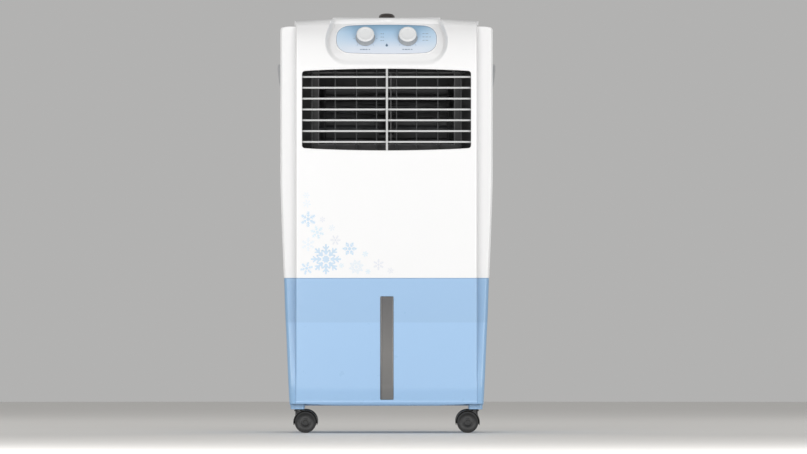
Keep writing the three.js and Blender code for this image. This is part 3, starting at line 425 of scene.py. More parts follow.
def lathe(name, profile, seg, mat=None, axis="z", centre=(0, 0, 0), **k):
    """profile: [(radius, height)...] from axis to axis."""
    verts, faces, rings = [], [], []
    for r, h in profile:
        if r < 1e-6:
            rings.append([len(verts)]); verts.append((0, 0, h))
        else:
            rings.append(list(range(len(verts), len(verts) + seg)))
            verts += [(r * math.cos(2 * math.pi * i / seg), r * math.sin(2 * math.pi * i / seg), h) for i in range(seg)]
    for a, b in zip(rings, rings[1:]):
        if len(a) == 1 and len(b) == 1: continue
        for i in range(seg):
            j = (i + 1) % seg
            if len(a) == 1: faces.append([a[0], b[i], b[j]])
            elif len(b) == 1: faces.append([a[i], a[j], b[0]])
            else: faces.append([a[i], a[j], b[j], b[i]])
    if len(rings[0]) > 1 and len(rings[-1]) > 1:
        for i in range(seg):
            j = (i + 1) % seg
            faces.append([rings[-1][i], rings[-1][j], rings[0][j], rings[0][i]])
    out = []
    for x, y, z in verts:
        p = {"z": (x, y, z), "y": (x, z, y), "x": (z, x, y)}[axis]
        out.append((p[0] + centre[0], p[1] + centre[1], p[2] + centre[2]))
    return mesh_obj(name, out, faces, mat, **k)


def sweep(name, path, radius, mat=None, seg=10, closed=True, **k):
    """Round bead of one radius along a 3-D path."""
    pts = [Vector(p) for p in path]; n = len(pts); verts = []; faces = []
    up = None
    for i, p in enumerate(pts):
        t = (pts[(i + 1) % n] - pts[i - 1]) if closed or 0 < i < n - 1 else (pts[min(i + 1, n - 1)] - pts[max(i - 1, 0)])
        t.normalize()
        if up is None: up = Vector((0, 1, 0)) if abs(t.y) < 0.9 else Vector((0, 0, 1))
        s = t.cross(up).normalized(); u = s.cross(t).normalized(); up = u
        for j in range(seg):
            a = 2 * math.pi * j / seg
            verts.append(tuple(p + (s * math.cos(a) + u * math.sin(a)) * radius))
    m = n if closed else n - 1
    for i in range(m):
        for j in range(seg):
            a, b = i * seg + j, i * seg + (j + 1) % seg
            c, d = ((i + 1) % n) * seg + (j + 1) % seg, ((i + 1) % n) * seg + j
            faces.append([a, b, c, d])
    if not closed: faces += [list(range(seg)), list(range((n - 1) * seg, n * seg))]
    return mesh_obj(name, verts, faces, mat, **k)


UPV = Vector((0, math.sin(TILT), math.cos(TILT))); NRM = Vector((0, -math.cos(TILT), math.sin(TILT)))


def on_panel(u, v, w):
    """Console coordinates: u right, v up the slope, w out of it."""
    p = Vector((0, console_y(PANEL_CZ), PANEL_CZ)) + Vector((1, 0, 0)) * u + UPV * v + NRM * w
    return (p.x, p.y, p.z)


def place_on_panel(o, du=0.0, dv=0.0):
    for v in o.data.vertices:
        v.co = Vector(on_panel(v.co.x / MM + du, v.co.y / MM + dv, v.co.z / MM)) * MM
    return o


def put(o, body, slot, *nodes):
    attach(o, body)
    if nodes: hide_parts(*nodes)
    return o


def dress(name, mat, width=0.5, seg=2, angle=30):
    """A carried-over node: flat areas merged, edges eased, and its own material."""
    o = NODES[name]
    o.data.materials.clear(); o.data.materials.append(mat)
    o.data.polygons.foreach_set("use_smooth", [True] * len(o.data.polygons))
    w = o.modifiers.new("weld", "WELD"); w.merge_threshold = 0.00002
    d = o.modifiers.new("flat", "DECIMATE"); d.decimate_type = "DISSOLVE"; d.angle_limit = math.radians(1.2)
    if width:
        m = o.modifiers.new("bev", "BEVEL"); m.width = width * MM; m.segments = seg; m.limit_method = "ANGLE"
        m.angle_limit = math.radians(angle); m.use_clamp_overlap = True
    weighted(o)
    return o


# ------------------------------------------------------------------ front cover: raised panel with the console dish, outlet opening and side flanges
def outlet_outline(o=0.0, r=6.5, n=5, m=12):
    top = lambda x: OUT_Z1 + OUT_BOW * (1 - (x / OUT_HW) ** 2) + o
    bot = lambda x: OUT_Z0 - OUT_BOW * (1 - (x / OUT_HW) ** 2) - o
    hw = OUT_HW + o
    pts = arc(-hw + r, OUT_Z0 - o + r, r, 180, 264, n)
    pts += [(x, bot(x)) for x in [(-1 + 2 * (i + 0.5) / m) * (hw - r - 4) for i in range(m)]]
    pts += arc(hw - r, OUT_Z0 - o + r, r, 276, 360, n) + arc(hw - r, OUT_Z1 + o - r, r, 0, 84, n)
    pts += [(x, top(x)) for x in [(1 - 2 * (i + 0.5) / m) * (hw - r - 4) for i in range(m)]]
    pts += arc(-hw + r, OUT_Z1 + o - r, r, 96, 180, n)
    return pts


def front_cover():
    # the panel's profile as two matching rows of (y, z): the plain face, and the console dish
    zs = [SEAM_Z, 292, 300] + [300 + 20 * i for i in range(1, 18)] + [650, 660, 666, 670, 673, 676, 678] + [680 + 1.0 * i for i in range(0, 24)] + [704 + 2.0 * i for i in range(0, 27)]
    outer_tab = [(200, -175), (700, -175), (716, -174.5), (732, -173), (746, -170.4), (757, -166.6)]
    face = [(sum(table(outer_tab, z + d) for d in (-6, -3, 0, 3, 6)) / 5, z) for z in zs]
    dish_tab = [(200, -175), (677, -175), (680, -174.5), (683, -173.1), (686, -171.7), (691, -169.7), (697, -167.9), (703, -165.6), (712, -160.0)]
    def dish_y(z):
        plane = console_y(z)
        t = sum(table(dish_tab, z + d) for d in (-1.2, -0.6, 0, 0.6, 1.2)) / 5
        # the floor runs into the sloping plane
        w = smoothstep(696, 709, z)
        return t * (1 - w) + plane * w
    dish = [(dish_y(z), z) for z in zs]
    top_face = [(-164.9, 759.2), (-162.4, 761.7), (-159.6, 763.6), (-156.4, 764.9), (-152.5, 765.7), (-148, 766), (-140, 766), (-130, 766), (-120.1, 766), (-120.1, 758)]
    zt = [757.2 + i * 1.6 for i in range(6)]
    c7 = console_y(757.6)
    top_dish = [(c7, 757.8), (c7 + 0.2, 759.4), (c7 + 0.35, 761.2), (c7 + 0.7, 763.4), (c7 + 1.5, 765.4), (c7 + 3.2, 767.2), (-123.6, 768.1), (-122.0, 768.6), (-120.1, 768.8), (-120.1, 758)]
    face += top_face; dish += top_dish
    xs = [-168 + d for d in (0, 0.12, 0.5, 1.1, 1.9, 2.9, 4.2)] + [-160, -150, -140, -130, -124] + [-120 + 1.0 * i for i in range(0, 33)] + [-84 + 4.0 * i for i in range(0, 20)] + [-6, -3]
    xs = xs + [0.0] + [-x for x in reversed(xs)]
    verts, faces = [], []
    edge_r = 3.4
    for x in xs:
        ax = abs(x)
        fall = 0.0 if ax < 105 else 3.4 * ((ax - 105) / 58.5) ** 1.0
        for k, ((yo, zo), (yd, zd)) in enumerate(zip(face, dish)):
            hw = 111.5 - 9.5 * smoothstep(728, 764, zd)
            # rounded lower corners of the dish
            qx, qz = ax - (hw - 40), (725.0) - zd
            d = math.hypot(max(qx, 0), max(qz, 0)) + min(max(qx, qz), 0) - 40 if zd < 725 else ax - hw
            if zd < 725:
                qx, qz = ax - (hw - 42), (681.0 + 42) - zd
                d = (math.hypot(max(qx, 0.0), max(qz, 0.0)) - 42) if (qx > 0 or qz > 0) else -42.0
                if qx <= 0: d = (681.0 - zd)
                elif qz <= 0: d = ax - hw
            w = 1 - smoothstep(-7.0, 2.5, d)
            lip = 0.0
            y = yo * (1 - w) + yd * w
            z = zo * (1 - w) + zd * w
            if k >= len(zs): z -= 1.5 * (min(ax, 106) / 106) ** 2 * w
            if k >= len(zs) - 6: z -= fall * min(1, (k - (len(zs) - 6)) / 8) * (1 - w)
            # finger notch in the front of the top edge
            if 758 < z < 766 and ax < 11 and w > 0.99:
                e = 1 - (ax / 11) ** 2 - ((z - 761.3) / 2.4) ** 2
                if e > 0: y += 1.3 * math.sqrt(e)
            # rounded vertical edges
            t = 168 - ax
            if t < edge_r and y < -150:
                y = y + (edge_r - math.sqrt(max(0.0, edge_r ** 2 - (edge_r - t) ** 2)))
            verts.append((x, y, z))
    R = len(face)
    for i in range(len(xs) - 1):
        for k in range(R - 1):
            faces.append([i * R + k, (i + 1) * R + k, (i + 1) * R + k + 1, i * R + k + 1])
    # returns along both sides to the flange plane
    base = len(verts)
    for s, col in ((-1, 0), (1, len(xs) - 1)):
        start = len(verts)
        for k in range(R):
            x, y, z = verts[col * R + k]
            yb = -153.9 if z < 704 else -120.1
            verts.append((x, max(y + 0.2, yb), z))
        for k in range(R - 1):
            a, b = col * R + k, col * R + k + 1
            c, d = start + k + 1, start + k
            faces.append([a, b, c, d] if s < 0 else [d, c, b, a])
    o = mesh_obj("panel", verts, faces, FRONT_SHADEM, smooth=False)
    bm = bmesh.new(); bm.from_mesh(o.data)
    bmesh.ops.remove_doubles(bm, verts=bm.verts, dist=0.00002)
    bmesh.ops.recalc_face_normals(bm, faces=bm.faces)
    # outward means towards the viewer on the big face
    f = max(bm.faces, key=lambda f: f.calc_area())
    if f.normal.y > 0: bmesh.ops.reverse_faces(bm, faces=bm.faces)
    bm.to_mesh(o.data); bm.free()
    s = o.modifiers.new("s", "SOLIDIFY"); s.thickness = 2.4 * MM; s.offset = -1; s.use_even_offset = False
    apply(o)
    boolean(o, prism("cut", "y", outlet_outline(), -190, -150))
    for sx in (-1, 1):
        c = lathe("hole", [(0, -30), (6.2, -30), (6.2, 20), (0, 20)], 32); place_on_panel(c, sx * KNOB_X, KNOB_V); boolean(o, c)
    shade(o, 32)
    # side flanges
    tops = list(TOPS)
    lv = [(z, 0.0) for z in (SEAM_Z, 305, 330, 364, 400, 430, 460, 600, 735)] + tops
    levels = []
    for z, t in lv:
        hw = smooth_table(SIDE, z, 10) - t if z < 700 else HALF_W - t
        r = 5.0
        levels.append((z, arc(-hw + r, Y_FLANGE + r, r, 180, 270, 6) + arc(hw - r, Y_FLANGE + r, r, 270, 360, 6) + [(hw, -151.0), (-hw, -151.0)]))
    fl = loft("flange", levels, FLANGE_SHADEM)
    boolean(fl, prism("c", "z", [(-260, -153.9), (260, -153.9), (260, -140), (-260, -140)], 200, 800))
    boolean(fl, prism("c", "z", [(-166.5, -170), (166.5, -170), (166.5, -140), (-166.5, -140)], 200, 800))
    # soft lip around the outlet
    lip = sweep("lip", [(x, Y_FACE + 1.0, z) for x, z in outlet_outline(0.6)], 1.25, WHITE, 10)
    cov = join([o, fl, lip], "front_cover_shell")
    weighted(cov)
    put(cov, "body", "white_shell", "front_cover")
    return cov


COVER = front_cover()


# ------------------------------------------------------------------ console: film panel, bezel, printed marks, knobs
def pill(g, r0=26.0, n=10):
    hw, hh, r = 93 + g, 33 + g, r0 + g
    bow = lambda x: 2.0 * (x / (hw - r)) ** 2
    xs = [(-1 + 2 * i / 12) * (hw - r) * 0.94 for i in range(13)]
    return arc(-hw + r, -hh + 2 + r, r, 180, 268, n) + [(x, -hh + bow(x)) for x in xs] + arc(hw - r, -hh + 2 + r, r, 272, 360, n) \
        + arc(hw - r, hh - 2 - r, r, 0, 88, n) + [(-x, hh - bow(x)) for x in xs] + arc(-hw + r, hh - 2 - r, r, 92, 180, n)


def console():
    p = prism("console_film", "z", pill(-0.2), -1.0, 0.55, FILM, smooth=False)
    bevel(p, 0.35, 2, 40)
    for sx in (-1, 1):
        c = lathe("hole", [(0, -30), (5, -30), (5, 20), (0, 20)], 32)
        for v in c.data.vertices: v.co.x += sx * KNOB_X * MM; v.co.y += KNOB_V * MM
        boolean(p, c)
    shade(p, 30); place_on_panel(p)
    put(p, "body", "panel_film", "control_panel")
    b = sweep("console_bezel", [on_panel(x, y, 0.15) for x, y in pill(0.9)], 1.35, WHITE, 12)
    g = sweep("console_groove", [on_panel(x, y, 0.62) for x, y in pill(-0.35)], 0.42, GROOVE, 8)
    put(g, "body", "panel_film")
    put(b, "body", "white_shell")
    # printed marks: speed ticks round each knob, three level bars and a drop
    marks = []
    def plate(pts, mat, w0=0.5, w1=0.72):
        o = prism("mark", "z", pts, w0, w1, mat, smooth=False); place_on_panel(o); marks.append(o)
    def bar(cx, cy, w, h, mat, a=0.0):
        c, s = math.cos(math.radians(a)), math.sin(math.radians(a))
        plate([(cx + x * c - y * s, cy + x * s + y * c) for x, y in round_rect(-w / 2, w / 2, -h / 2, h / 2, min(w, h) * 0.45, 3)], mat)
    for sx in (-1, 1):
        for a in (225, 180, 135, 90, 45, 0, -45):
            if sx > 0 and a in (180, 0): continue
            r = 21.0
            bar(sx * KNOB_X + r * math.cos(math.radians(a)), KNOB_V + r * math.sin(math.radians(a)), 2.6, 0.8, PRINT_G, a)
        for i, w in enumerate((3.2, 5.0, 3.8, 2.6)):
            bar(sx * KNOB_X - 8.2 + i * 5.2, -22.6, w, 1.3, PRINT)
    for i, y in enumerate((12.5, 5.0, -2.6)):
        bar(-5.9, y, 1.5, 1.5, PRINT)
        bar(-9.6 + 0.0, y, 3.4, 1.3, PRINT_G)
        for j, w in enumerate((4.2, 5.2, 3.0)[:2 + (i % 2)]):
            bar(68.5 + j * 6.1, y + 0.4, w, 1.2, PRINT_G)
    drop = [(0.4 + 2.3 * math.cos(math.radians(a)), -13.8 + 2.3 * math.sin(math.radians(a))) for a in range(-210, 31, 24)] + [(0.4, -9.2)]
    plate(drop, PRINT)
    m = join(marks, "console_marks")
    put(m, "body", "panel_film")
    for name, sx in (("speed_knob", -1), ("mode_knob", 1)):
        prof = [(0, 1.9)]
        prof += [(17.3, 1.9), (17.9, 2.2), (18.0, 2.8), (18.0, 4.4), (17.8, 5.0), (17.1, 5.5), (16.9, 6.2), (16.5, 13.8), (16.3, 15.0), (15.8, 15.8), (15.0, 16.4), (14.0, 16.75), (13.0, 16.8), (12.2, 16.6), (11.6, 16.1), (10.5, 15.9), (6, 15.85), (0, 15.85)]
        k = lathe(name + "_cap", prof, 72, KNOB, angle=28)
        # grip flutes round the side, and painted shade on the side: it takes a darker material
        for v in k.data.vertices:
            x, y, z = v.co / MM
            r = math.hypot(x, y)
            if r > 16 and 6.0 <= z <= 14.2:
                a = math.atan2(y, x)
                f = 0.22 * (0.5 + 0.5 * math.cos(36 * a))
                v.co.x *= 1 - f / r; v.co.y *= 1 - f / r
        k.data.materials.append(KNOB_SIDE_SHADE)
        for poly in k.data.polygons:
            c = poly.center / MM
            if c.z < 14.2 and math.hypot(c.x, c.y) > 15: poly.material_index = 1
        ptr = prism("ptr", "z", round_rect(-0.8, 0.8, 6.4, 12.8, 0.7, 4), 15.6, 16.15, KNOB, smooth=False)
        shaft = lathe("shaft", [(0, -19.5), (2.6, -19.5), (3, -19.1), (3, 2.5), (0, 2.5)], 24, KNOB)
        kk = join([k, ptr, shaft], name + "_moulding")
        place_on_panel(kk, sx * KNOB_X, KNOB_V)
        put(kk, name, "knob_plastic", name)


console()


# ------------------------------------------------------------------ water tank and upper housing
FLANGE_Y = [(50, -168), (80, -171.5), (98, -171), (128, -167), (166, -161), (200, Y_FLANGE), (800, Y_FLANGE)]
FACE_Y = [(50.3, -167.5), (54, -170.5), (57, -172), (60, -171.6), (80, -174.6), (205, -173.6), (287, -173.4)]


def plan(hw, yf, yr, bw, yface, rf, rr, rb, rc):
    d = yf - yface
    k = max(0.02, min(1.0, d / (rb + rc + 0.2)))
    rb, rc = rb * k, rc * k
    pts = arc(-hw + rf, yf + rf, rf, 180, 270, 6) + arc(-bw - rc, yf - rc, rc, 90, 0, 4) + arc(-bw + rb, yface + rb, rb, 180, 270, 6)
    n = 14
    pts += [(-bw + rb + (i + 1) * 2 * (bw - rb) / (n + 1), yface) for i in range(n)]
    return pts + arc(bw - rb, yface + rb, rb, 270, 360, 6) + arc(bw + rc, yf - rc, rc, 180, 90, 4) + arc(hw - rf, yf + rf, rf, 270, 360, 6) \
        + arc(hw - rr, yr - rr, rr, 0, 90, 8) + arc(-hw + rr, yr - rr, rr, 90, 180, 8)


def tank_level(z, t, face=None):
    yf = smooth_table(FLANGE_Y, z, 9)
    fy = (table(FACE_Y, z) if z < 64 else smooth_table(FACE_Y, z, 5)) if face is None else face
    return (z, plan(smooth_table(SIDE, z, 8) - t, max(yf, fy + 1) + t, 156 + 4 * (z - 50) / 237 - t, PANEL_HW - t, fy + t, 7 - min(t, 3), 16 - t, 3.2, 1.4))


def water_tank():
    rows = [(50.3, 2.6), (50.7, 1.9), (51.3, 1.2), (52.2, 0.6), (53.4, 0.15), (54.6, 0)] + [(z, 0) for z in (55.5, 56.3, 57, 57.6, 58.2, 59, 60, 63, 67, 71, 74, 76, 77.5, 79, 80.5, 82, 84, 88, 94, 100, 108, 118, 128, 140, 152, 164, 176, 186, 196, 203, 204.4, 205.6, 207, 214, 226, 240, 256, 270, 280, 285.4)] + [(286.1, 0.25), (286.5, 0.7)]
    out = loft("tank", [tank_level(z, t) for z, t in rows], BLUE)
    inn = loft("in", [tank_level(z, 2.6) for z in (53.6, 80, 98, 128, 166, 202, 288)])
    boolean(out, inn)
    for s in (1, -1):
        cut = [(s * x, z) for x, z in ((80, 49), (205, 49), (205, 54.4), (150, 53.7))]
        boolean(out, prism("rim", "y", cut if s > 0 else cut[::-1], -185, -120))
    boolean(out, prism("gauge", "y", round_rect(0.7 - 12.5, 0.7 + 12.5, 61.3, 253.0, 2.4, 5), -185, -150))
    parts = []
    for sx in (-1, 1):
        for sy in (-1, 1):
            x, y = sx * CASTOR_X, sy * CASTOR_Y
            lo, hi = sorted((sx * 177.8, sx * 151.9))
            foot = prism("foot", "z", round_rect(lo, hi, y - 15, y + 15, 4, 4), 43.6, 54.6, BLUE)
            bevel(foot, 0.9, 3, 40)
            boolean(foot, lathe("s", [(0, 40), (4.8, 40), (4.8, 62), (0, 62)], 20, centre=(x, y, 0)))
            boolean(out, lathe("s", [(0, 40), (4.8, 40), (4.8, 63), (0, 63)], 20, centre=(x, y, 0)))
            parts += [foot, lathe("socket", [(4.8, 53), (7.5, 53), (7.5, 66.4), (6.9, 67), (0, 67), (0, 63), (4.8, 63)], 24, BLUE, centre=(x, y, 0))]
    # drain outlet and filling mouth in the back
    yb = lambda z: 156 + 4 * (z - 50) / 237
    boolean(out, lathe("d", [(0, 120), (10, 120), (10, 175), (0, 175)], 32, axis="y", centre=(120, 0, 72)))
    boolean(out, prism("fill", "y", round_rect(-46, 46, 226, 268, 3, 4), 140, 175))
    d0 = yb(72)
    parts.append(lathe("drain", [(7.6, d0 - 9), (11.4, d0 - 9), (12, d0 - 8.4), (12, d0 + 3.4), (11.4, d0 + 4), (8.2, d0 + 4), (7.6, d0 + 3.4), (7.6, d0 - 9)], 40, BLUE, axis="y", centre=(120, 0, 72)))
    shade(out, 28)
    t = join([out] + parts, "tank_moulding")
    weighted(t)
    put(t, "body", "blue_shell", "water_tank")
    # level window following the front face
    zs = [61.7, 62.1, 63, 66, 70, 74, 77, 80, 84, 95, 120, 150, 180, 200, 205, 210, 230, 248, 251.4, 252.2, 252.6]
    v, f = [], []
    edge = lambda z: 0.35 if z in (61.7, 252.6) else (0.12 if z in (62.1, 252.2) else 0.0)
    xs = [-12.1, -11.8, -11.2, -10, 0, 10, 11.2, 11.8, 12.1]
    xe = [0.35, 0.12, 0.0, 0, 0, 0, 0.0, 0.12, 0.35]
    for z in zs:
        y = smooth_table(FACE_Y, z, 5)
        for x, e in zip(xs, xe): v.append((0.7 + x, y - 0.42 + min(0.45, edge(z) + e) , z))
    for z in zs:
        y = smooth_table(FACE_Y, z, 5)
        for x in xs: v.append((0.7 + x, y + 2.2, z))
    n, c = len(zs), len(xs)
    for i in range(n - 1):
        for k in range(c - 1):
            a = i * c + k
            f.append([a, a + 1, a + c + 1, a + c]); b = n * c + a
            f.append([b, b + c, b + c + 1, b + 1])
    for i in range(n - 1):
        for k in (0, c - 1):
            a, b = i * c + k, n * c + i * c + k
            f.append([a, a + c, b + c, b] if k == 0 else [a, b, b + c, a + c])
    for k in range(c - 1):
        for i in (0, n - 1):
            a, b = i * c + k, n * c + i * c + k
            f.append([a, b, b + 1, a + 1] if i == 0 else [a, a + 1, b + 1, b])
    w = mesh_obj("level_window", v, f, SMOKE, smooth=True, angle=50)
    put(w, "body", "smoke_window", "water_window")


def housing_level(z, inset):
    hw = smooth_table(SIDE, z, 10) - inset if z < 700 else HALF_W - inset
    yb, r = Y_BACK - inset, 14.0
    return (z, [(-hw, -153.8), (hw, -153.8)] + [(hw, -153.8 + i * 34) for i in range(1, 9)] + arc(hw - r, yb - r, r, 0, 90, 8) + arc(-hw + r, yb - r, r, 90, 180, 8) + [(-hw, -153.8 + i * 34) for i in range(8, 0, -1)])


def upper_housing():
    tops = list(TOPS)
    lv = [(286.9, 0.5), (287.3, 0.15), (288, 0.0)] + [(z, 0.0) for z in (296, 305, 318, 330, 345, 364, 380, 400, 420, 440, 460, 480, 560, 640, 700, 735)] + tops
    out = loft("shell", [housing_level(z, t) for z, t in lv], WHITE)
    # raised deck with a crowned top
    xs = [-168, -167.9, -167.5, -166.7, -165.4, -163.5] + [-158 + i * 10.6 for i in range(6)] + [-105]
    xs += [-100 + 20 * i for i in range(11)] + [-x for x in reversed(xs)]
    ys = [-119.7] + [-110 + 18 * i for i in range(13)] + [111, 114, 116, 118, 120, 123, 126, 129, 132, 134.5, 136.5, 137.6, 138]
    def deck_z(x, y):
        ax = abs(x)
        crown = DECK_Z - (3.4 * max(0.0, (ax - 105) / 58.5) if ax <= 163.5 else 3.4)
        if ax > 163.5: crown -= 4.6 - math.sqrt(max(0.0, 4.6 ** 2 - (ax - 163.5 + 0.1) ** 2)) if ax - 163.5 + 0.1 < 4.6 else 4.6
        e = y - 118
        drop = 0 if e <= 0 else 14.0 * (1 - math.sqrt(max(0.0, 1 - (e / 20.02) ** 2)))
        return max(749.0, crown - drop)
    v = [(x, y, deck_z(x, y)) for y in ys for x in xs] + [(x, y, 748.0) for y in ys for x in xs]
    n, c = len(ys), len(xs); f = []
    for i in range(n - 1):
        for k in range(c - 1):
            a = i * c + k; b = a + n * c
            f += [[a, a + 1, a + c + 1, a + c], [b, b + c, b + c + 1, b + 1]]
    for i in range(n - 1):
        a, b = i * c, i * c + n * c; f.append([a, a + c, b + c, b])
        a, b = i * c + c - 1, i * c + c - 1 + n * c; f.append([a, b, b + c, a + c])
    for k in range(c - 1):
        a, b = k, k + n * c; f.append([a, b, b + 1, a + 1])
        a, b = (n - 1) * c + k, (n - 1) * c + k + n * c; f.append([a, a + 1, b + 1, b])
    deck = mesh_obj("deck", v, f, WHITE, smooth=False)
    boolean(out, deck, "UNION")
    inner = loft("in", [(z, [(x * (abs(x) - w) / abs(x), (y + 2.6 if y < 0 else y - 2.6 * (1 if y > 120 else 0))) for x, y in housing_level(z, 0)[1]]) for z, w in ((280, 2.6), (330, 2.6), (400, 2.6), (460, 2.6), (747, 2.6), (751.0, 6))])
    boolean(out, inner)
    boolean(out, prism("c", "z", [(-165.4, -125), (165.4, -125), (165.4, 131), (-165.4, 131)], 740, 758))
    boolean(out, prism("c", "z", [(-168.3, -175), (168.3, -175), (168.3, -119.7), (-168.3, -119.7)], 700, 790))
    boolean(out, prism("c", "z", [(-180, -165), (180, -165), (180, -150), (-180, -150)], 280, 740))
    boolean(out, prism("lid", "z", round_rect(-100.8, 100.8, -121, 55.8, 3, 4), 740, 790))
    boolean(out, prism("rear", "y", round_rect(-158, 158, 306, 728, 8, 6), 140, 175))
    boolean(out, lathe("g", [(0, 150), (6.2, 150), (6.2, 172), (0, 172)], 24, axis="y", centre=(167, 0, 318)))
    for x in (-166.5, 166.5): boolean(out, lathe("g", [(0, 150), (2.4, 150), (2.4, 172), (0, 172)], 16, axis="y", centre=(x, 0, 520)))
    for s in (-1, 1): boolean(out, prism("grip", "x", round_rect(-62.3, 62.3, 639.7, 684.3, 12, 6), min(s * 185, s * 205), max(s * 185, s * 205)))
    shade(out, 30)
    ledge = ring_prism("ledge", "z", round_rect(-106, 106, -119.6, 61, 5, 4), round_rect(-91.5, 91.5, -112, 47.5, 3, 4), 758.4, 760.4, WHITE)
    wall = ring_prism("wall", "z", round_rect(-106, 106, -119.6, 61, 5, 4), round_rect(-100.8, 100.8, -118.9, 55.8, 3, 4), 760.3, 763.1, WHITE)
    o = join([out, ledge, wall], "housing_moulding")
    weighted(o)
    put(o, "body", "white_shell", "upper_housing")


water_tank()
upper_housing()


# ------------------------------------------------------------------ louvres and swing vanes
def louvre(i, z):
    h, t = 8.5, 1.8
    prof = [(-h + t - t * math.cos(math.radians(a)), t * math.sin(math.radians(a))) for a in range(-90, 91, 15)]
    prof += [(-3, 1.74), (0, 1.6), (3, 1.36), (6, 1.02), (8.0, 0.78), (8.4, 0.6), (8.5, 0.3), (8.5, -0.3), (8.4, -0.6), (8.0, -0.78), (6, -1.02), (3, -1.36), (0, -1.6), (-3, -1.74)]
    prof = [(y + LOUVRE_Y, zz + z) for y, zz in prof]
    o = prism("slat", "x", prof[::-1], -157.4, 157.4, SLAT, smooth=False)
    bevel(o, 0.25, 2, 60)
    boolean(o, prism("n", "z", round_rect(4, 12, LOUVRE_Y + 2, LOUVRE_Y + 12, 0.8, 4), z - 3, z + 3))
    shade(o, 30)
    pin = lathe("pin", [(0, -160), (1.3, -160), (1.5, -159.8), (1.5, 159.8), (1.3, 160), (0, 160)], 20, SLAT, axis="x", centre=(0, LOUVRE_Y, z))
    cross = lathe("cross", [(0, 3.6), (1.1, 3.6), (1.1, 12.4), (0, 12.4)], 16, SLAT, axis="x", centre=(0, LOUVRE_Y + 6.8, z))
    # ridges at each end where the slat meets its pivot boss
    bosses = [lathe("boss", [(0, s * 156.0), (2.1, s * 156.0), (2.1, s * 157.6), (0, s * 157.6)], 20, SLAT, axis="x", centre=(0, LOUVRE_Y, z)) for s in (-1, 1)]
    put(join([o, pin, cross] + bosses, f"louvre_{i}_moulding"), f"louvre_{i}", "slat_plastic", f"louvre_{i}")


for n_, z_ in enumerate(LOUVRE_Z): louvre(n_ + 1, z_)


def vane(i, x):
    z0, z1 = 527.5, 663.8
    prof = [(-0.35, -23.0), (0.35, -23.0), (0.55, -22.7), (0.8, -14), (1.08, -4), (1.1, 2), (1.05, 7), (0.75, 16), (0.5, 22.7), (0.3, 23.0), (-0.3, 23.0), (-0.5, 22.7), (-0.75, 16), (-1.05, 7), (-1.1, 2), (-1.08, -4), (-0.8, -14), (-0.55, -22.7)]
    o = prism("blade", "z", [(x + px, -122 + py) for px, py in prof], z0, z1, VANEM, smooth=False)
    # rounded lower and upper front corners
    for zc, s in ((z0, 1), (z1, -1)):
        c = prism("c", "x", [(-146, zc - s * 1), (-140, zc - s * 1)] + [(-145.02 + 5 * (1 - math.sin(math.radians(a))), zc + s * 5 * (1 - math.cos(math.radians(a)))) for a in range(0, 91, 15)] + [(-146, zc + s * 5)], x - 4, x + 4)
        boolean(o, c)
    shade(o, 35)
    pivot = lathe("pivot", [(0, 519.1), (1.3, 519.1), (1.5, 519.4), (1.5, 678.3), (1.3, 678.6), (0, 678.6)], 16, VANEM, centre=(x, -122, 0))
    crank = lathe("crank", [(0, 660.8), (1.4, 660.8), (1.4, 670.2), (1.1, 670.5), (0, 670.5)], 16, VANEM, centre=(x, -107, 0))
    put(join([o, pivot, crank], f"vane_{i}_moulding"), f"vane_{i}", "black_plastic", f"vane_{i}")


VANEM = moulded("vane_plastic", (0.095, 0.097, 0.10), rough=0.4, bump=0.08, vary=0.06, grain=1800)
for n_, x_ in enumerate((-138, -95, -55.5, -18.5, 18.5, 55.5, 95, 138)): vane(n_ + 1, x_)


# ------------------------------------------------------------------ castors
def turn(o, sx, sy, deg):
    m = Matrix.Translation((sx * CASTOR_X * MM, sy * CASTOR_Y * MM, 0)) @ Matrix.Rotation(math.radians(deg), 4, "Z")
    o.data.transform(m); o.data.update(); return o


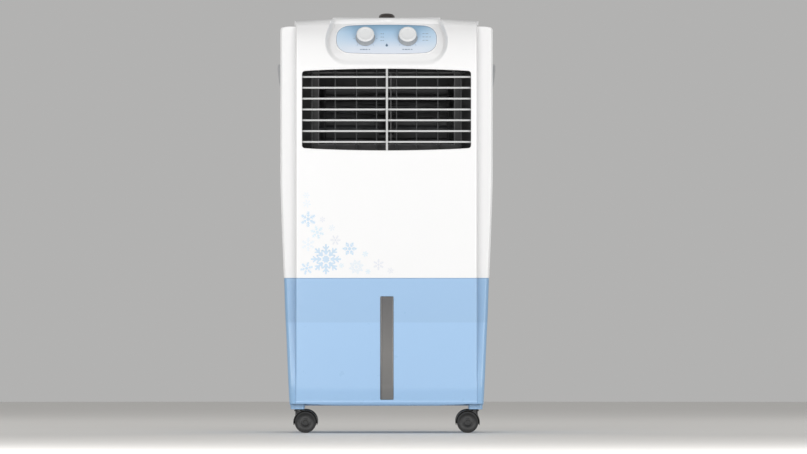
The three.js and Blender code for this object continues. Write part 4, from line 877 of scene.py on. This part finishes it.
def castor(name, sx, sy, deg):
    t = -CASTOR_TRAIL
    # hood: a curved shell over both wheels, its rims rounded
    outer = arc(t, WHEEL_Z, 22.5, -14, 194, 36); inner = arc(t, WHEEL_Z, 21.15, 194, -14, 36)
    hood = prism("hood", "y", outer + inner, -16.4, 16.4, NYLON, smooth=False); bevel(hood, 0.45, 3, 40)
    web = prism("web", "y", arc(t, WHEEL_Z, 21.5, -6, 186, 30) + [(t - 6, WHEEL_Z - 5), (t + 6, WHEEL_Z - 5)], -3, 3, NYLON, smooth=False); bevel(web, 0.4, 2, 40)
    boss = lathe("boss", [(0, WHEEL_Z - 5), (5.8, WHEEL_Z - 5), (6.4, WHEEL_Z - 4.4), (6.4, 39.8), (7.6, 39.8), (8, 40.2), (8, 42.2), (7.6, 42.7), (4.6, 42.8), (4, 43.4), (4, 60.4), (3.4, 61), (0, 61)], 40, NYLON)
    flare = prism("flare", "y", [(t + 20.5, WHEEL_Z - 3), (5.9, WHEEL_Z - 5), (6.3, 39.6), (-6.0, 39.9), (-9.5, WHEEL_Z + 21.9), (t + 12, WHEEL_Z + 17.6)], -4.5, 4.5, NYLON, smooth=False); bevel(flare, 1.4, 3, 40)
    o = join([hood, web, boss, flare], f"castor_fork_{name}_moulding")
    hub = lathe("hub", [(3.5, -3.4), (5.2, -3.4), (5.2, 3.4), (3.5, 3.4), (3.5, -3.4)], 24, NYLON, axis="y", centre=(t, 0, WHEEL_Z))
    o = join([o, hub], f"castor_fork_{name}_moulding")
    put(turn(o, sx, sy, deg), f"castor_{name}", "castor_plastic", f"castor_fork_{name}")
    parts = []
    for s in (-1, 1):
        a, b = 7.6, 16.6
        tread = [(16.4, a), (18.6, a), (19.2, a + 0.25), (19.7, a + 1.0)]
        for g in (9.6, 12.1, 14.6):
            tread += [(19.86, g - 0.75), (19.5, g - 0.45), (19.5, g + 0.45), (19.86, g + 0.75)]
        tread += [(19.7, b - 1.0), (19.2, b - 0.3), (18.6, b), (16.9, b), (16.4, b - 0.35), (16.4, a)]
        parts.append(lathe("tread", [(r, s * y) for r, y in tread], 64, TREAD, axis="y", centre=(t, 0, WHEEL_Z)))
        disc = [(0, a + 0.4), (16.5, a + 0.4), (16.5, b - 0.5), (16.0, b - 0.15), (15.2, b - 0.3), (14.4, b - 0.75), (10.8, b - 1.0), (7.6, b - 0.9), (6.6, b - 0.4), (6.0, b - 0.2), (4.4, b - 0.15), (3.9, b - 0.3), (3.5, b - 0.7), (0, b - 0.75)]
        parts.append(lathe("disc", [(r, s * y) for r, y in disc], 56, DISC, axis="y", centre=(t, 0, WHEEL_Z)))
    parts.append(lathe("axle", [(0, -9), (2.8, -9), (2.8, 9), (0, 9)], 24, DISC, axis="y", centre=(t, 0, WHEEL_Z)))
    w = join(parts, f"castor_wheels_{name}_pair")
    put(turn(w, sx, sy, deg), f"wheels_{name}", "tread", f"castor_wheels_{name}")


for nm_, a_, b_, c_ in (("front_left", -1, -1, 180), ("front_right", 1, -1, 0), ("rear_left", -1, 1, 180), ("rear_right", 1, 1, 0)): castor(nm_, a_, b_, c_)


# ------------------------------------------------------------------ lid, its grip, carrying grips
def top_pieces():
    lid = prism("lid", "z", round_rect(-100, 100, -118.5, 55, 3, 6), 764.9, LID_Z, WHITE, smooth=False)
    bevel(lid, 0.9, 3, 40)
    put(lid, "ice_lid", "white_shell", "ice_lid")
    prof = [(0, 769.1), (14.3, 769.1), (14.8, 769.5), (15.0, 770.2), (14.9, 771.0), (14.5, 772.2), (13.4, 773.6), (11.8, 774.8), (9.6, 775.8), (6.5, 776.5), (3.2, 776.9), (0, 777)]
    g = lathe("grip", prof, 64, GRIPM, centre=(0.4, -98, 0), angle=40)
    for v in g.data.vertices:
        x, y, z = v.co / MM; dx, dy = x - 0.4, y + 98; r = math.hypot(dx, dy)
        if r > 13.8 and z < 772.6:
            f = 0.35 * (0.5 + 0.5 * math.cos(16 * math.atan2(dy, dx)))
            v.co.x -= dx / r * f * MM; v.co.y -= dy / r * f * MM
    put(g, "ice_lid", "grip_plastic", "lid_grip")
    for name, s in (("side_grip_left", -1), ("side_grip_right", 1)):
        cup = prism("cup", "x", round_rect(-62, 62, 640, 684, 11.7, 8), 172, 196.3, GREYM, smooth=False)
        lip = prism("lip", "y", [(190, 682.5), (190, 640.5), (197.4, 640.5), (199.6, 652), (202, 672), (202, 680), (200.5, 682.5)], -48, 48, GREYM, smooth=False)
        bevel(lip, 1.2, 3, 30)
        boolean(cup, lip, "UNION")
        hol = prism("hol", "y", [(174.5, 676.5), (174.5, 645), (180, 639), (210, 632), (210, 655), (199.3, 662), (196, 676.5)], -45, 45); bevel(hol, 2.0, 3, 40)
        boolean(cup, hol); bevel(cup, 0.35, 2, 40)
        if s < 0:
            cup.data.transform(Matrix.Scale(-1, 4, (1, 0, 0))); cup.data.flip_normals()
        put(cup, "body", "grey_plastic", name)


GREYM = moulded("grip_grey", (0.42, 0.43, 0.44), rough=0.4, bump=0.08, vary=0.03, grain=2000)
top_pieces()


# ------------------------------------------------------------------ back: grille, dust net, cooling pad
def back_pieces():
    yb, yf = 160.3, 175.0
    outer = ring_prism("g1", "y", round_rect(-178, 178, 293, 744, 12, 8), round_rect(-150, 150, 318, 718, 3, 8), yb, 167, WHITE, smooth=False)
    bevel(outer, 1.2, 3, 40)
    mid = ring_prism("g2", "y", round_rect(-174, 174, 297, 740, 10, 8), round_rect(-150, 150, 318, 718, 3, 8), 166, 172, WHITE, smooth=False)
    bevel(mid, 1.6, 3, 40)
    top = ring_prism("g3", "y", round_rect(-158, 158, 311, 726, 9, 8), round_rect(-150, 150, 318, 718, 3, 8), 171, yf, WHITE, smooth=False)
    bevel(top, 0.8, 3, 40)
    for x in (-166.5, 166.5):
        for o in (outer, mid):
            boolean(o, lathe("h", [(0, 150), (2.4, 150), (2.4, 190), (0, 190)], 20, axis="y", centre=(x, 0, 520)))
            boolean(o, lathe("h", [(0, 165.4), (4.9, 165.4), (4.9, 190), (0, 190)], 28, axis="y", centre=(x, 0, 520)))
    for o in (outer, mid): boolean(o, lathe("h", [(0, 150), (11.5, 150), (11.5, 190), (0, 190)], 32, axis="y", centre=(167, 0, 318)))
    bars = []
    z = 333.0
    while z < 712:
        # sloping slat with rounded edges
        b = prism("bar", "x", [(161.4, z + 5.3), (166.8, z + 0.25), (172.3, z - 4.85), (173.1, z - 4.7), (173.75, z - 3.7), (173.5, z - 3.0), (168.0, z + 2.1), (162.6, z + 6.7), (161.8, z + 6.5), (161.25, z + 5.8)], -151, 151, WHITE, smooth=False)
        bars.append(b); z += 26
    rib = prism("rib", "x", [(160.6, 317), (164.4, 317), (164.4, 719), (160.6, 719)], -1.5, 1.5, WHITE, smooth=False)
    bevel(rib, 0.4, 2, 40)
    ribs = []
    for x in (-75, 75):
        r = prism("rib", "x", [(160.7, 317), (163.0, 317), (163.0, 719), (160.7, 719)], x - 0.9, x + 0.9, WHITE, smooth=False); ribs.append(r)
    put(join([outer, mid, top, rib] + bars + ribs, "grille_moulding"), "body", "white_shell", "rear_grille")
    # net: thin frame with fine threads
    fr = ring_prism("nf", "y", round_rect(-154, 154, 309, 725, 6, 5), round_rect(-145, 145, 318, 716, 4, 5), 155.9, 158.4, NETM, smooth=False)
    bevel(fr, 0.5, 2, 40)
    cr = [prism("nb", "y", round_rect(-146, 146, zc - 2.2, zc + 2.2, 0.5, 2), 156.2, 158.2, NETM, smooth=False) for zc in (445.5, 586.5)]
    cr += [prism("nb", "y", round_rect(xc - 2.2, xc + 2.2, 317, 717, 0.5, 2), 156.2, 158.2, NETM, smooth=False) for xc in (-49, 49)]
    v, f = [], []
    def strand(a, b, w, y0, y1, vert):
        k = len(v)
        if vert: c = [(w - 0.28, y0, a), (w + 0.28, y0, a), (w + 0.28, y1, a), (w - 0.28, y1, a), (w - 0.28, y0, b), (w + 0.28, y0, b), (w + 0.28, y1, b), (w - 0.28, y1, b)]
        else: c = [(a, y0, w - 0.28), (a, y0, w + 0.28), (a, y1, w + 0.28), (a, y1, w - 0.28), (b, y0, w - 0.28), (b, y0, w + 0.28), (b, y1, w + 0.28), (b, y1, w - 0.28)]
        v.extend(c); f.extend([[k, k + 1, k + 2, k + 3], [k + 4, k + 7, k + 6, k + 5], [k, k + 4, k + 5, k + 1], [k + 1, k + 5, k + 6, k + 2], [k + 2, k + 6, k + 7, k + 3], [k + 3, k + 7, k + 4, k]])
    x = -143.5
    while x < 145: strand(317, 717, x, 156.9, 157.4, True); x += 3.5
    z = 320.5
    while z < 716: strand(-146, 146, z, 157.3, 157.8, False); z += 3.5
    net = mesh_obj("net", v, f, NETM, smooth=False)
    put(join([fr, net] + cr, "net_weave"), "body", "net", "dust_filter")
    # cooling pad: stacked wavy sheets, alternate sheets sloping opposite ways, seen from the face as a fine honeycomb
    v, f = [], []
    pitch, nx = 7.5, 40
    zs = [300 + 419.5 * i / 210 for i in range(211)]
    for s in range(nx):
        x0 = -150 + pitch * (s + 0.5)
        for side, y in ((0, 103.2), (1, 152.3)):
            for zz in zs:
                ph = 2 * math.pi * (zz - 300) / 16.0 + (math.pi if s % 2 else 0)
                # each flute runs at an angle through the depth
                ph += (1 if s % 2 else -1) * (y - 103) / 49.5 * 5.2
                x = x0 + 3.35 * math.sin(ph)
                v += [(x - 0.2, y, zz), (x + 0.2, y, zz)]
        base = s * 4 * len(zs); L = 2 * len(zs)
        for i in range(len(zs) - 1):
            a, b = base + 2 * i, base + L + 2 * i
            f += [[a, a + 1, a + 3, a + 2], [b, b + 2, b + 3, b + 1], [a, a + 2, b + 2, b], [a + 1, b + 1, b + 3, a + 3]]
        a, b = base, base + L; f.append([a, b, b + 1, a + 1])
        a, b = base + L - 2, base + 2 * L - 2; f.append([a, a + 1, b + 1, b])
    sheets = mesh_obj("pad", v, f, PADM, smooth=False)
    core = prism("core", "x", [(104.5, 300.4), (151.0, 300.4), (151.0, 719.2), (104.5, 719.2)], -148.8, 148.8, PADM, smooth=False)
    rim = ring_prism("rim", "y", [(-150, 300), (150, 300), (150, 719.5), (-150, 719.5)], [(-147.5, 302.5), (147.5, 302.5), (147.5, 717), (-147.5, 717)], 103.0, 106.0, PADM, smooth=False)
    put(join([sheets, core, rim], "pad_sheets"), "body", "honeycomb", "cooling_pad")


back_pieces()

# ------------------------------------------------------------------ carried-over pieces that keep their own shape
for name_, mat_, w_ in (("outlet_frame", DUCT, 0.4), ("centre_bar", BARM, 0.5), ("louvre_tie_bar", DARK, 0.15), ("vane_link_bar", DARK, 0.15),
                        ("swing_motor", GREY, 0.5), ("swing_crank", GREY, 0.25), ("blower_scroll", SCROLLM, 0.3), ("blower_wheel", WHEELM, 0.0), ("fan_shaft", ENAMEL, 0.3),
                        ("motor_bracket", ZINC, 0.3), ("bearing_bracket", ZINC, 0.3), ("fan_motor", ENAMEL, 0.8), ("speed_switch", BLACK, 0.4), ("mode_switch", BLACK, 0.4),
                        ("ice_tray", WHITE, 0.4), ("water_pump", BLACK, 0.8), ("water_hose", HOSEM, 0.0), ("water_distributor", WHITE, 0.4), ("drain_plug", WHITE, 0.5), ("fill_door", BLUE, 0.4),
                        ("grille_screw_left", STEEL, 0.2), ("grille_screw_right", STEEL, 0.2), ("cord_gland", BLACK, 0.4)):
    dress(name_, mat_, w_)


# ------------------------------------------------------------------ printed frost crystals low on the left of the front
def crystal(cx, cz, r, arms, mat, seed):
    out = []
    y1 = -174.8
    def quad(p, q, w0, w1, y0=-175.16):
        dx, dz = q[0] - p[0], q[1] - p[1]; L = math.hypot(dx, dz) or 1; nx, nz = -dz / L, dx / L
        out.append(prism("c", "y", [(p[0] + nx * w0, p[1] + nz * w0), (p[0] - nx * w0, p[1] - nz * w0), (q[0] - nx * w1, q[1] - nz * w1), (q[0] + nx * w1, q[1] + nz * w1)], y0, y1, mat, smooth=False))
    kind = seed % 3
    for k in range(arms):
        a = 2 * math.pi * k / arms + 0.26 * seed
        d = (math.cos(a), math.sin(a)); n = (-d[1], d[0])
        pt = lambda u, v=0.0: (cx + (d[0] * u + n[0] * v) * r, cz + (d[1] * u + n[1] * v) * r)
        quad(pt(0.3), pt(0.97), 0.085 * r, 0.05 * r)
        if kind != 1:
            for u, l in ((0.42, 0.24), (0.68, 0.2)):
                for s in (-1, 1): quad(pt(u, s * 0.04), pt(u + 0.75 * l, s * l), 0.06 * r, 0.03 * r, -175.13)
        else:
            # lozenge arms
            for s in (-1, 1):
                quad(pt(0.36, s * 0.06), pt(0.58, s * 0.2), 0.05 * r, 0.05 * r, -175.13); quad(pt(0.58, s * 0.2), pt(0.88, s * 0.05), 0.05 * r, 0.03 * r, -175.10)
        if kind == 2:
            for s in (-1, 1): quad(pt(0.98, s * 0.12), pt(0.86, s * 0.04), 0.04 * r, 0.04 * r, -175.13)
    m = 2 * arms
    ring = [(cx + r * (0.26 if k % 2 else 0.19) * math.cos(math.pi * k / arms + 0.26 * seed), cz + r * (0.26 if k % 2 else 0.19) * math.sin(math.pi * k / arms + 0.26 * seed)) for k in range(m)]
    out.append(prism("c", "y", ring[::-1], -175.18, y1, mat, smooth=False))
    return out


def frost():
    rows = [(325.6, 259.2, 15.5, 8, 0), (307.9, 219.2, 7.8, 6, 0), (317.0, 232.4, 7.2, 6, 1), (349.3, 248.7, 7.4, 6, 0), (306.3, 268.3, 6.4, 6, 0), (307.9, 244.4, 7.4, 6, 2), (356.0, 266.9, 7.8, 8, 2), (335.1, 240.1, 5.2, 6, 3),
            (331.5, 227.8, 3.6, 6, 2), (322.2, 219.5, 3.2, 6, 3), (306.6, 203.6, 4.2, 6, 2), (306.0, 195.3, 3.6, 6, 2), (365.0, 254.0, 3.2, 6, 1), (378.2, 264.6, 5.6, 6, 3), (341.1, 265.6, 2.8, 6, 1), (367.6, 271.6, 2.8, 6, 1), (390.2, 270.6, 3.2, 6, 3)]
    mats = [PRINT_B, PRINT_C, PRINT_V, PRINT_L]
    out = []
    for k, (px, py, r, arms, m) in enumerate(rows):
        out += crystal((px - 386.2) * 1.85, (433 - py) * 1.85, r * 1.85, arms, mats[m], k + (0 if r > 12 else 1))
    put(join(out, "frost_print"), "body", "white_shell")


PRINT_B = moulded("print_blue", (0.60, 0.74, 0.88), rough=0.32, coat=0.2, bump=0.02, vary=0.05)
PRINT_C = moulded("print_cyan", (0.72, 0.84, 0.92), rough=0.32, coat=0.2, bump=0.02, vary=0.05)
PRINT_V = moulded("print_pale", (0.82, 0.875, 0.925), rough=0.32, coat=0.2, bump=0.02, vary=0.05)
PRINT_L = moulded("print_lilac", (0.80, 0.82, 0.87), rough=0.32, coat=0.2, bump=0.02, vary=0.05)
frost()


# ------------------------------------------------------------------ close the last open edges left by the cut-outs
def close_edges(o):
    bm = bmesh.new(); bm.from_mesh(o.data)
    for _ in range(60):
        bad = [e for e in bm.edges if len(e.link_faces) == 1]
        vs = sorted({v for e in bad for v in e.verts}, key=lambda v: v.index)
        hit = None
        for e in bad:
            a, b = e.verts; d = b.co - a.co
            for v in vs:
                if v is a or v is b: continue
                t = (v.co - a.co).dot(d) / d.length_squared
                if 1e-4 < t < 1 - 1e-4 and (a.co + d * t - v.co).length < 2e-5: hit = (e, a, t); break
            if hit: break
        if not hit: break
        bmesh.utils.edge_split(*hit); bm.verts.index_update()
    edge = [v for v in bm.verts if any(len(e.link_faces) == 1 for e in v.link_edges)]
    bmesh.ops.remove_doubles(bm, verts=edge, dist=2e-5)
    bmesh.ops.holes_fill(bm, edges=[e for e in bm.edges if len(e.link_faces) == 1], sides=0)
    bm.to_mesh(o.data); bm.free(); o.data.update()


for n_ in ("front_cover_shell", "grille_moulding"): close_edges(bpy.data.objects[n_])


# ------------------------------------------------------------------ studio: pale floor, soft light
def studio():
    sc = bpy.context.scene
    ring = [(7.0 * math.cos(2 * math.pi * k / 96), 7.0 * math.sin(2 * math.pi * k / 96), 0.0) for k in range(96)]
    v, f = [(0.0, 0.0, 0.0)] + ring, [[0, 1 + k, 1 + (k + 1) % 96] for k in range(96)]
    me = bpy.data.meshes.new("floor"); me.from_pydata(v, [], f); me.update()
    for p in me.polygons: p.use_smooth = True
    fl = bpy.data.objects.new("floor", me); sc.collection.objects.link(fl)
    me.materials.append(moulded("floor_paint", (0.80, 0.785, 0.76), rough=0.55, spec=0.25, bump=0.02, vary=0.015, grain=300))
    w = bpy.data.worlds.new("studio"); sc.world = w; w.use_nodes = True
    bg = w.node_tree.nodes["Background"]; bg.inputs[0].default_value = (1.0, 0.995, 0.985, 1.0); bg.inputs[1].default_value = WORLD
    def area(name, loc, size, power, target=(0, 0, 0.4)):
        l = bpy.data.lights.new(name, "AREA"); l.shape = "RECTANGLE"; l.size, l.size_y = size; l.energy = power
        o = bpy.data.objects.new(name, l); sc.collection.objects.link(o); o.location = loc
        o.rotation_euler = (Vector(target) - Vector(loc)).to_track_quat("-Z", "Y").to_euler()
    area("key", (-1.35, -3.9, 0.95), (2.3, 1.6), KEY)
    area("fill", (1.55, -3.9, 0.85), (2.3, 1.6), FILL)
    area("top", (0.0, 0.3, 3.2), (2.6, 2.0), TOP)
    area("rear_left", (-2.4, 2.0, 1.9), (1.6, 1.6), REAR)
    area("rear_right", (2.4, 2.0, 1.9), (1.6, 1.6), REAR)
    sc.view_settings.view_transform = "Standard"
    sc.view_settings.look = "None"


WORLD, KEY, FILL, TOP, REAR = 0.447, 49.0, 46.8, 1.0, 14.0
studio()
